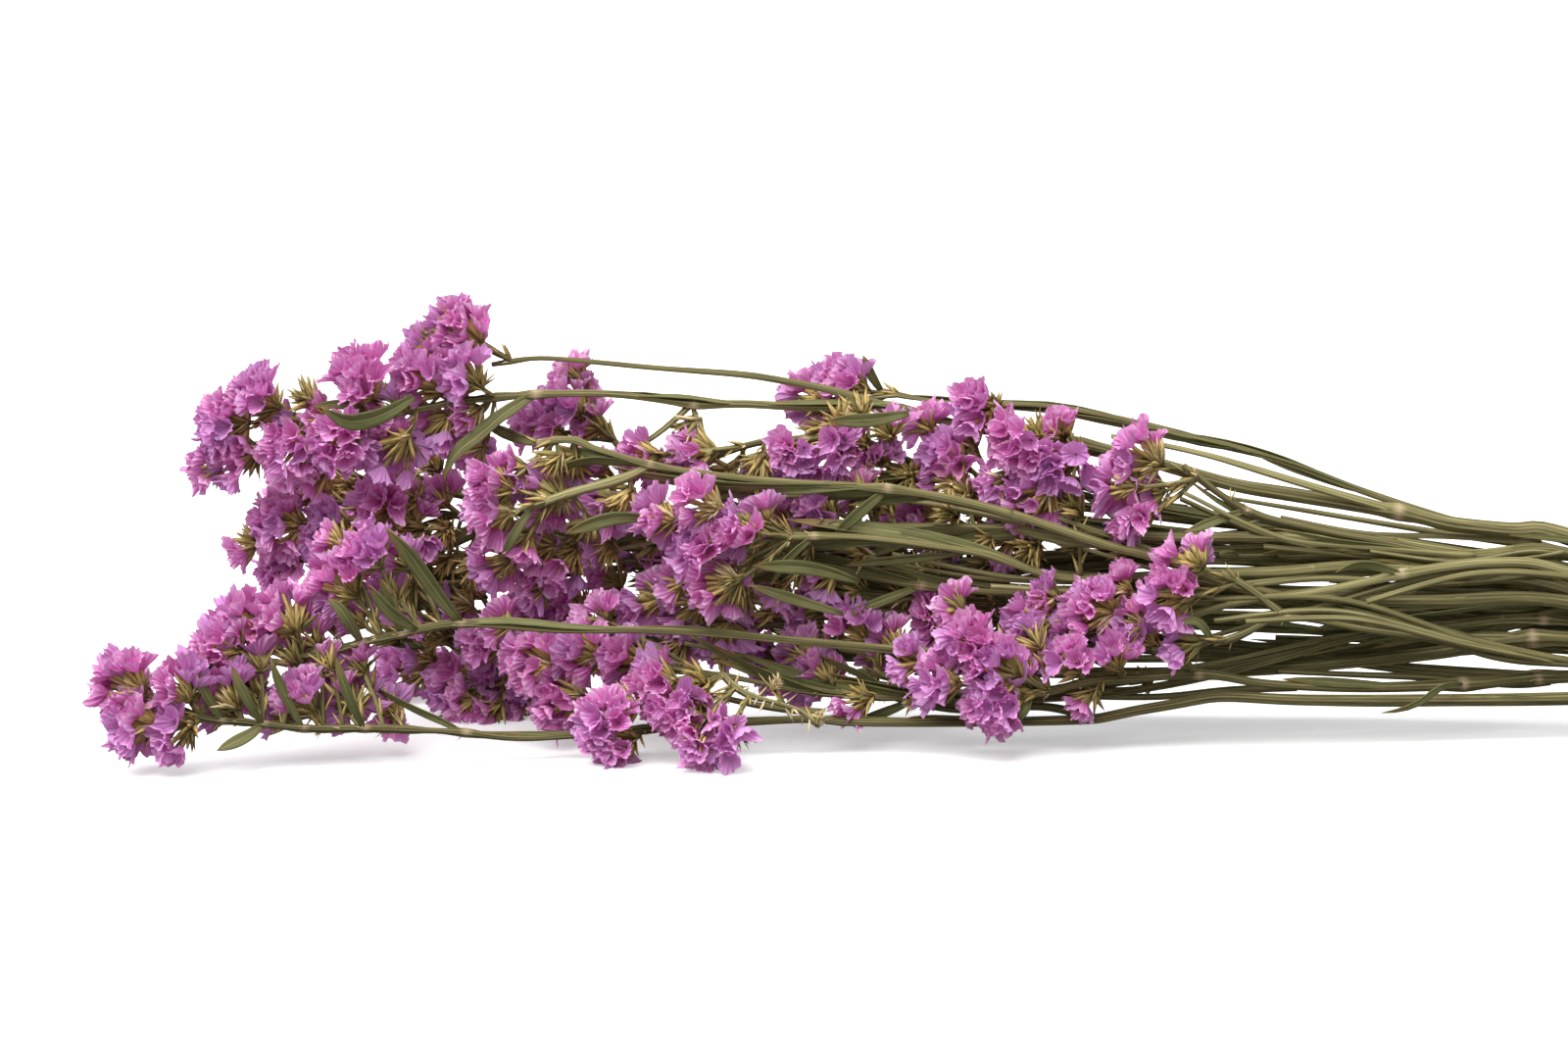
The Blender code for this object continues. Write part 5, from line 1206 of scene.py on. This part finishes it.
def calyx_template(kind, rng, look):
    """One crumpled papery calyx along +Z, its foot at the origin: creased lobes, fine pleats."""
    part = Piece()
    mouth, high = look.mouth * MM / 2, look.high * MM
    phases = [rng.uniform(0, ROUND) for _ in range(4)]
    squeeze, sway, bow = rng.uniform(0.4, 0.9), rng.uniform(0, HALF_ROUND), rng.uniform(-2.6, 2.6)
    turns = [math.tau * (corner + rng.uniform(-0.25, 0.25)) / CALYX_CORNERS
             for corner in range(CALYX_CORNERS)]
    folds = [rng.uniform(0.35, 1.0) * (1 if corner % 2 else -1)
             for corner in range(CALYX_CORNERS)]
    rag, tear = ([rng.uniform(-1, 1) for _ in range(CALYX_CORNERS)] for _ in range(2))
    rings = ((0.04, 0.0), (0.46, 0.42), (0.80, 0.76), (1.0, rng.uniform(0.86, 1.02)))

    def shape(station, corner):
        radius, rise = rings[station]
        share = station / (len(rings) - 1)
        turn, fold = turns[corner], folds[corner]
        notch = 1 - abs(math.sin(LOBES / 2 * turn + phases[0]))
        two, three, seven = (math.sin(waves * turn + phase)
                             for waves, phase in zip((2, 3, 7), phases[1:]))
        ruffle = look.ruffle * share
        edge = look.ruffle if station == len(rings) - 1 else 0
        pleat = PLEAT * fold * min(share * 1.6, 1.0)
        swell = ruffle * (0.06 * three + 0.06 * seven - 0.07 * notch) + 0.06 * edge * rag[corner]
        out = mouth * radius * (1 + swell) + pleat
        wave = ruffle * (0.8 * two + 0.5 * three + 0.4 * seven - 0.3 * notch)
        wave += 0.4 * edge * tear[corner]
        place = Vector((out * math.cos(turn), out * math.sin(turn), high * rise + wave - pleat))
        place.rotate(Quaternion((0, 0, 1), -sway))
        place.x = place.x * (1 + (squeeze - 1) * share) + bow * share * (place.y / mouth) ** 2
        place.rotate(Quaternion((0, 0, 1), sway))
        flow = (math.cos(turn) * 11, math.sin(turn) * 11, share * 1.2 + kind)
        # In the calyx's finish, the pleat value also paints the folds darker and lighter, as shade
        # and highlight.
        return place, flow, {"rim": share, "pleat": fold}

    part.tube(CALYX_CORNERS, len(rings), shape, PAPER, closed=False)
    rim = part.layers["rim"]
    for edge in part.bm.edges:
        edge.smooth = edge.verts[0][rim] == edge.verts[1][rim]
    return part.template(f"calyx_{kind}")


def tuft(piece, top, axis, bracts, rng, look, size=1.0, cream=False):
    """A fan of bracts round the top of a twig."""
    mood = rng.random()
    for number in range(look.bracts):
        angle = math.radians(8 + 50 * math.sqrt((number + 0.5) / look.bracts))
        angle += rng.uniform(-0.12, 0.12)
        tip = lean(axis, angle, number * GOLDEN + rng.uniform(-0.4, 0.4))
        scale = size * rng.uniform(0.75, 1.15)
        spot = Vector(top) - Vector(axis) * rng.uniform(0.2, 2.4)
        tone = CREAM if cream or rng.random() < 0.06 else 0.6 * mood + 0.4 * rng.random()
        piece.stamp(rng.choice(bracts), spot, tip, rng.uniform(0, ROUND), scale, tone)


def twig(piece, foot, top, axis, bracts, rng, look):
    """A short stalk from a stem to the foot of a head, with bracts pressed to it on its way."""
    reach = np.linalg.norm(top - foot)
    bow = foot + (top - foot) * 0.55 - axis * reach * 0.08
    line = curve([foot, bow, top - axis * 0.3], max(1.6, reach / 6))
    half = np.linspace(TWIG_WIDTH * 0.34, TWIG_WIDTH * 0.46, len(line))
    ribbed(piece, line, half, [0], rng, look)
    for number, (start, stop) in enumerate(zip(line, line[1:]), 1):
        ahead = Vector(stop - start).normalized()
        tip = lean(ahead, math.radians(rng.uniform(10, 35)),
                   number * GOLDEN + rng.uniform(-0.6, 0.6))
        piece.stamp(rng.choice(bracts), start, tip, rng.uniform(0, ROUND), rng.uniform(0.6, 1.0),
                    rng.uniform(0, 0.7))


def inward(spot, rng):
    """A direction square to the bunch, toward its middle, with some scatter."""
    side = np.array([0.0, -spot[1], MIDDLE_HIGH - MIDDLE_FALL * max(0.0, spot[0]) - spot[2]])
    side = side / (np.linalg.norm(side) + 1) + (0, rng.uniform(-0.7, 0.7), rng.uniform(-0.7, 0.7))
    return side / np.linalg.norm(side)


def beside(line, start, stop, away, rng, low=1.4):
    """A line that leaves another one and draws off toward the middle of the bunch."""
    side = inward(line[start], rng)
    spots = []
    for share in (0.0, 0.3, 0.65, 1.0):
        spot = line[start + int((stop - start) * share)] + side * away * share ** 1.3
        spot[2] = max(spot[2], low)
        spots.append(spot)
    return spots


def loose_wing(piece, line, rng, look, away):
    """A long narrow leaf that has come half away from its stem and lies along the bundle."""
    last = len(line) - 1
    start = rng.randrange(int(last * 0.12), int(last * 0.8))
    stop = min(last, start + rng.randrange(9, 28))
    leafy = line[start][0] < LEAFY_END and away > OUTER_AWAY
    wide = rng.uniform(1.8, 3.8) * (1.5 if leafy else 1.0)
    blade(piece, beside(line, start, stop, rng.uniform(0.2, 1.0) * away, rng), wide, rng, look, 1.0)


def deep_wing(piece, line, rng, look):
    """A long leaf that lies in the shade between the heads."""
    inside = [number for number in range(len(line) - 9) if DEEP[0] < line[number][0] < DEEP[1]]
    if inside:
        start = rng.choice(inside)
        stop = min(len(line) - 1, start + rng.randrange(9, 24))
        points = beside(line, start, stop, rng.uniform(4, 14), rng)
        blade(piece, points, rng.uniform(2.5, 4.5), rng, look, 1.0)


def thin_branch(piece, line, ends, joints, rng, look):
    """A thin ribbed branch along a line, with its half-widths at both ends."""
    part = Piece()
    ribbed(part, line, np.linspace(*ends, len(line)), joints, rng, look)
    piece.absorb(part)


def stray_branch(piece, line, bracts, rng, look):
    """A thin branch beside its stem, deep in the bunch. Among the heads it ends in spent tufts."""
    last = len(line) - 1
    start = rng.randrange(min(26, last // 3), int(last * 0.7))
    stop = min(last, start + rng.randrange(22, 52))
    points = curve(beside(line, start, stop, rng.uniform(4.0, 15.0), rng, 2.0), THREAD)
    thin_branch(piece, points, (1.15, 0.75), [0], rng, look)
    part = Piece()
    for spot in (-1, -6):
        axis = Vector(points[spot] - points[spot - 2]).normalized()
        if points[spot][0] < LEAFY_END and points[spot][1] > TUFTS_FRONT:
            axis = np.array(lean(axis, 0.5, rng.uniform(0, ROUND)))
            tuft(part, points[spot], axis, bracts, rng, look, 0.9)
    piece.absorb(part)


def spent_claws(piece, spot, ahead, spread, sizes, tones, bracts, rng):
    """Two small dry bracts left at a place on a branch, within a spread of angles."""
    for _ in range(2):
        angle = math.radians(rng.uniform(*spread))
        tip = lean(Vector(ahead).normalized(), angle, rng.uniform(0, ROUND))
        piece.stamp(rng.choice(bracts), spot, tip, rng.uniform(0, ROUND), rng.uniform(*sizes),
                    rng.choice(tones) if len(tones) > 1 else tones[0])


def spent_spurs(piece, line, bracts, rng):
    """Cream claws where the florets along a thin branch have fallen."""
    for number in range(1, len(line) - 1):
        spent_claws(piece, line[number], heading(line, number), (35, 85), (0.4, 0.75), (CREAM,),
                    bracts, rng)


@functools.lru_cache(maxsize=1)
def whole_layout():
    """The lines and heads of the bunch, pushed apart, each head with its stem and axis."""
    routes, clusters = lay_out()
    for number, cluster in enumerate(clusters):
        cluster["number"] = number
    push_apart(routes, clusters)
    for bloom, places in SPRIGS.items():
        for place in places:
            clusters.append({"number": len(clusters), "bloom": bloom, "plant": BLOOMS[bloom][0],
                             "radius": float(place[3]), "middle": at(place)})
    for cluster in clusters:
        own = [route for route in routes if route.plant == cluster["plant"]]
        route = nearest_route(own, cluster["middle"])
        foot = nearest(route.points, cluster["middle"])[0]
        axis, ahead = cluster["middle"] - route.points[foot], heading(route.points, foot)
        axis = axis / np.linalg.norm(axis) + FORWARD * ahead / np.linalg.norm(ahead)
        axis += (-0.2, 0.4 + 0.5 * math.sin(2.4 * cluster["number"]), 0.0)
        cluster.update(route=route, foot=max(0, foot - 1), axis=axis / np.linalg.norm(axis))
    return routes, clusters


def build_plant(plant, routes, clusters, look, bracts, materials, seed):
    """One cut stem with its branches, leaves, twigs and tufts of bracts."""
    rng = random.Random(seed)
    piece = Piece()
    own = [route for route in routes if route.plant == plant]
    for cluster in [head for head in clusters if head["plant"] == plant]:
        top = cluster["middle"] - cluster["axis"] * cluster["radius"] * BASE
        part = Piece()
        foot = cluster["route"].points[cluster["foot"]]
        twig(part, foot, top, cluster["axis"], bracts, rng, look)
        tuft(part, top, cluster["axis"], bracts, rng, look)
        piece.absorb(part)
    spent = plant in SPENT
    for rows, whole in ((TUFTS, False), (SPENT_TUFTS, True)):
        for spot in rows.get(plant, ()):
            route = nearest_route(own, at(spot))
            joint, reach = nearest(route.points, at(spot))
            foot = route.points[joint]
            axis = (at(spot) - foot) / reach
            top = foot + axis * (max(TUFT_LONG, reach) if whole else TUFT_LONG)
            part = Piece()
            twig(part, foot, top, axis, bracts, rng, look)
            ahead = Vector(heading(route.points, joint)).normalized()
            axis = np.array((Vector(axis) + ahead).normalized())
            tuft(part, top, axis, bracts, rng, look, 0.5 if spent else 1.1, spent)
            tuft(part, top + axis * 2.0, axis, bracts, rng, look, 0.4 if spent else 0.9, spent)
            piece.absorb(part)
    for route in own:
        if route.kind == "leaf":
            blade(piece, route.points, route.wide * look.leaf_slim, rng, look)
            continue
        fine = curve(list(route.points), THREAD)
        half = np.linspace(route.half[0], route.half[-1], len(fine))
        half *= np.linspace(0.94, look.slim, len(fine))
        ratio = (len(fine) - 1) / (len(route.points) - 1)
        forks = [round(line.joint * ratio) for line in own if line.parent is route]
        marks = forks + [round(head["foot"] * ratio) for head in clusters if head["route"] is route]
        part = Piece()
        corners = BRANCH_CORNERS if route.kind == "branch" else SECTION
        ribbed(part, fine, half, marks, rng, look, corners, STEM_THICK, route.kind == "main", forks)
        piece.absorb(part)
        if route.kind != "branch":
            for _ in range(look.loose):
                loose_wing(piece, fine, rng, look, OUTER_AWAY if plant in OUTER else INNER_AWAY)
            for _ in range(0 if plant in OUTER else look.strays):
                stray_branch(piece, fine, bracts, rng, look)
        part = Piece()
        for mark in marks:
            spent_claws(part, fine[mark], heading(fine, mark), (25, 60), (0.3, 0.55), (CREAM, 0.5),
                        bracts, rng)
        if route.kind == "branch" and spent:
            spent_spurs(part, fine, bracts, rng)
        if route.kind == "main" and plant in BARE_TIPS:
            spent_spurs(part, fine[-13::2], bracts, rng)
        piece.absorb(part)
    for points in SHOOTS.get(plant, ()):
        line = curve([at(point) for point in points], THREAD)
        thin_branch(piece, line, (1.2, 0.8), [], rng, look)
    for wide, *points in LOOSE_LEAVES.get(plant, ()):
        blade(piece, [at(point) for point in points], wide, rng, look)
    rng = random.Random(-seed)
    inner = [route for route in own if route.kind in ("main", "side") and plant not in OUTER]
    for route in inner:
        fine = curve(list(route.points), THREAD)
        for _ in range(look.deep):
            deep_wing(piece, fine, rng, look)
    piece.finish(plant, materials)


def sprig(foot, way, middle, radius, look, calyces, straw, bracts, rng, spent):
    """A few calyces in a sheath of straw bracts, as one short branch of a head bears them."""
    piece = Piece()
    mood = rng.random()
    cream = rng.random() < 0.1
    start = rng.uniform(0, ROUND)
    gap = middle - foot
    for number in range(0 if spent else look.florets):
        out = lean(way, rng.uniform(0.15, 0.5),
                   start + number * ROUND / look.florets + rng.uniform(-0.4, 0.4))
        size = rng.uniform(0.78, 1.08)
        chord = math.sqrt(max(4.0, radius ** 2 - gap.length_squared + gap.dot(out) ** 2))
        reach = gap.dot(out) + chord
        seat = foot + out * max(2.2, reach * rng.uniform(0.9, 1.1) - look.high * MM * size)
        face = lean(out, rng.uniform(0, 0.3), rng.uniform(0, ROUND))
        tone = 0.7 * mood + 0.3 * rng.random()
        piece.stamp(rng.choice(calyces), seat, face, rng.uniform(0, ROUND), size, tone)
        stalk = seat + face * 0.3 - foot
        piece.stamp(straw, foot, stalk.normalized(), 0.0, size, tone, stalk.length)
    for number in range(SPENT_SHEATH if spent else SHEATH):
        tip = lean(way, rng.uniform(0.15 if spent else 0.25, 0.75), start + number * GOLDEN)
        piece.stamp(rng.choice(bracts), foot - way * rng.uniform(0.0, 1.2), tip,
                    rng.uniform(0, ROUND), rng.uniform(0.7, 1.1), CREAM if cream else rng.random())
    return piece


def build_bloom(bloom, clusters, look, calyces, straw, bracts, materials, seed):
    """The papery florets of one bloom, each on its straw tube."""
    rng = random.Random(seed)
    piece = Piece()
    for cluster in [head for head in clusters if head["bloom"] == bloom]:
        middle, axis, radius = Vector(cluster["middle"]), Vector(cluster["axis"]), cluster["radius"]
        count = round(look.sprigs * (radius / USUAL_HEAD) ** 2)
        for number in range(count):
            share = math.sqrt((number + 0.35) / count)
            way = lean(axis, look.spread * share + rng.uniform(-0.14, 0.14),
                       number * GOLDEN + rng.uniform(-0.3, 0.3))
            foot = middle - axis * radius * BASE + (way - axis) * rng.uniform(0.8, 2.2)
            spent = share > 0.45 and rng.random() < look.spent
            piece.absorb(sprig(foot, way, middle, radius, look, calyces, straw, bracts, rng, spent))
    piece.finish(bloom, materials)


def around_stems(routes, across):
    """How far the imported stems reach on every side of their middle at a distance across."""
    spots = []
    for route in [line for line in routes if line.kind == "main"]:
        station = int(np.argmin(abs(route.points[:, 0] - across)))
        spots.append((route.points[station][1], route.points[station][2], route.half[station]))
    middle = np.mean([spot[:2] for spot in spots], axis=0)

    def reach(turn):
        way = np.array([math.cos(turn), math.sin(turn)])
        return max((np.array(spot[:2]) - middle) @ way + spot[2] for spot in spots) + STRAND_GAP

    return middle, reach


def strand(piece, path, wide, thick, rng):
    """A flat strand of raffia along a line."""
    along = measured(path)
    ways = headings(path)
    shift = rng.uniform(0, 90)

    def shape(station, corner):
        side = np.cross(ways[station], (0.35, 0.1, 0.93))
        side /= np.linalg.norm(side)
        face = np.cross(ways[station], side)
        turn = math.tau * corner / STRAND_CORNERS
        place = path[station] + side * thick / 2 * math.cos(turn) + face * wide / 2 * math.sin(turn)
        return place, ((along[station] + shift) * 0.12, math.cos(turn) * 2, math.sin(turn) * 2), {}

    piece.tube(STRAND_CORNERS, len(path), shape, 0)


class Build:
    """What the building operators share: a button each in the panel, undoable."""
    bl_options = {"REGISTER", "UNDO"}


class STATICE_OT_stems(Build, bpy.types.Operator):
    """Build every plant: winged stem, branches, leaves, twigs and bracts"""
    bl_idname = "statice.stems"
    bl_label = "Stems and Leaves"

    def execute(self, context):
        look = context.scene.statice_stems
        rng = random.Random(SEED)
        bracts = [bract_template(kind, rng, look) for kind in range(BRACT_KINDS)]
        materials = [stem_finish(look), leaf_finish(look), bract_finish(look)]
        routes, clusters = whole_layout()
        for number, plant in enumerate(PLANTS):
            build_plant(plant, routes, clusters, look, bracts, materials, SEED * 100 + number)
        for mesh in bracts:
            bpy.data.meshes.remove(mesh)
        return {"FINISHED"}


class STATICE_OT_blooms(Build, bpy.types.Operator):
    """Build every bloom: ruffled papery calyces on straw tubes"""
    bl_idname = "statice.blooms"
    bl_label = "Blooms"

    def execute(self, context):
        look, stem_look = context.scene.statice_blooms, context.scene.statice_stems
        rng = random.Random(SEED + 1)
        calyces = [calyx_template(kind, rng, look) for kind in range(CALYX_KINDS)]
        bracts = [bract_template(kind, rng, stem_look) for kind in range(BRACT_KINDS)]
        straw = straw_template(look)
        for mesh in bracts:
            for polygon in mesh.polygons:
                polygon.material_index = TUBE
        materials = [calyx_finish(look), bract_finish(stem_look)]
        clusters = whole_layout()[1]
        for number, bloom in enumerate(BLOOMS):
            build_bloom(bloom, clusters, look, calyces, straw, bracts, materials,
                        SEED * 1000 + number)
        for mesh in [*calyces, *bracts, straw]:
            bpy.data.meshes.remove(mesh)
        return {"FINISHED"}


class STATICE_OT_tie(Build, bpy.types.Operator):
    """Build the raffia tie: turns round the stems, a knot and two tails"""
    bl_idname = "statice.tie"
    bl_label = "Tie"

    def execute(self, context):
        look = context.scene.statice_tie
        rng = random.Random(SEED + 2)
        routes = whole_layout()[0]
        across = TIE_AT - MIDDLE[0]
        middle, reach = around_stems(routes, across)
        wide = look.strand_wide * MM
        piece = Piece()
        path = []
        steps = look.strands * STRAND_STEPS
        for station in range(steps + 1):
            turn = math.tau * station / STRAND_STEPS
            drift = (station / steps - 0.5) * (TIE_WIDE - wide)
            path.append((across + drift, middle[0] + reach(turn) * math.cos(turn),
                         middle[1] + reach(turn) * math.sin(turn)))
        strand(piece, np.array(path), wide, STRAND_THICK, rng)
        top = middle[1] + reach(math.pi / 2)
        knot = []
        for station in range(KNOT_STEPS + 1):
            turn = math.tau * station / KNOT_STEPS
            knot.append((across + KNOT_WIDE * (math.sin(turn) + 2 * math.sin(2 * turn)),
                         middle[0] + KNOT_WIDE * (math.cos(turn) - 2 * math.cos(2 * turn)),
                         top + 1.3 - 0.9 * math.sin(3 * turn)))
        strand(piece, np.array(knot), *KNOT_STRAND, rng)
        for way in (-1, 1):
            start = np.array([across, middle[0], top + 1.2])
            tail = curve([start, start + (3 * way, -7, 2), start + (7 * way, -15, -3)], 1.2)
            strand(piece, tail, *TAIL_STRAND, rng)
        bmesh.ops.recalc_face_normals(piece.bm, faces=piece.bm.faces)
        piece.finish("tie", [raffia_finish(look)])
        return {"FINISHED"}


class STATICE_OT_stage(Build, bpy.types.Operator):
    """Set the camera at the photograph's angle, a plain pale floor and soft light"""
    bl_idname = "statice.stage"
    bl_label = "Stage"

    def execute(self, context):
        look = context.scene.statice_stage
        target = Vector((SIGHT[0] - MIDDLE[0], -MIDDLE[1], SIGHT[1])) / MM
        back = Vector((0, -math.cos(look.look_down), math.sin(look.look_down)))
        lens = bpy.data.cameras.new("camera")
        lens.lens = lens.sensor_width * look.distance / look.seen
        camera = bpy.data.objects.new("camera", lens)
        camera.location = target + back * look.distance
        camera.rotation_euler = (-back).to_track_quat("-Z", "Y").to_euler()
        context.scene.collection.objects.link(camera)
        context.scene.camera = camera
        context.scene.view_settings.view_transform = "Standard"
        self.floor(context, look)
        self.lamp(context, look, target, Vector(KEY_FROM))
        self.sky(context, look)
        return {"FINISHED"}

    def sky(self, context, look):
        """White light from above and in front, little from behind and none from below."""
        world = bpy.data.worlds.new("daylight")
        world.use_nodes = True
        sky = Wiring(world.node_tree)
        height = sky.dot(sky.place("Generated"), SKY_TOP)
        background = world.node_tree.nodes["Background"]
        background.inputs["Color"].default_value = (1, 1, 1, 1)
        world.node_tree.links.new((sky.between(height, -0.25, 0.6) * look.daylight).socket,
                                  background.inputs["Strength"])
        context.scene.world = world

    def floor(self, context, look):
        bm = bmesh.new()
        bmesh.ops.create_grid(bm, x_segments=1, y_segments=1, size=FLOOR_REACH)
        mesh = bpy.data.meshes.new("floor")
        bm.to_mesh(mesh)
        bm.free()
        made = Finish("pale_floor", 0.9, 0.0)
        made.shader.inputs["Base Color"].default_value = (*look.floor, 1)
        made.shader.inputs["Emission Color"].default_value = (1, 1, 1, 1)
        made.shader.inputs["Emission Strength"].default_value = look.glow
        mesh.materials.append(made.material)
        obj = bpy.data.objects.new("floor", mesh)
        obj.visible_diffuse = False
        context.scene.collection.objects.link(obj)

    def lamp(self, context, look, target, offset):
        data = bpy.data.lights.new("key", "SUN")
        data.energy = look.key
        data.angle = look.soft
        obj = bpy.data.objects.new("key", data)
        obj.location = target + offset
        obj.rotation_euler = (-offset).to_track_quat("-Z", "Y").to_euler()
        context.scene.collection.objects.link(obj)


class STATICE_PT_panel(bpy.types.Panel):
    """The bunch's pieces and their settings"""
    bl_idname = "STATICE_PT_panel"
    bl_label = "Dried Statice"
    bl_space_type = "VIEW_3D"
    bl_region_type = "UI"
    bl_category = "Statice"

    def draw(self, context):
        for operator, group in PIECES:
            box = self.layout.box()
            box.operator(operator.bl_idname)
            settings = getattr(context.scene, group)
            for name in settings.__annotations__:
                box.prop(settings, name)


PIECES = ((STATICE_OT_stems, "statice_stems"), (STATICE_OT_blooms, "statice_blooms"),
          (STATICE_OT_tie, "statice_tie"), (STATICE_OT_stage, "statice_stage"))
GROUPS = {"statice_stems": StemSettings, "statice_blooms": BloomSettings,
          "statice_tie": TieSettings, "statice_stage": StageSettings}
CLASSES = (*GROUPS.values(), *(operator for operator, _ in PIECES), STATICE_PT_panel)


def register():
    for cls in CLASSES:
        bpy.utils.register_class(cls)
    for name, group in GROUPS.items():
        setattr(bpy.types.Scene, name, PointerProperty(type=group))


def unregister():
    for name in GROUPS:
        delattr(bpy.types.Scene, name)
    for cls in reversed(CLASSES):
        bpy.utils.unregister_class(cls)


def main():
    register()
    bpy.ops.statice.stems()
    bpy.ops.statice.blooms()
    bpy.ops.statice.tie()
    bpy.ops.statice.stage()
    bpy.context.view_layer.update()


if __name__ == "__main__":
    main()
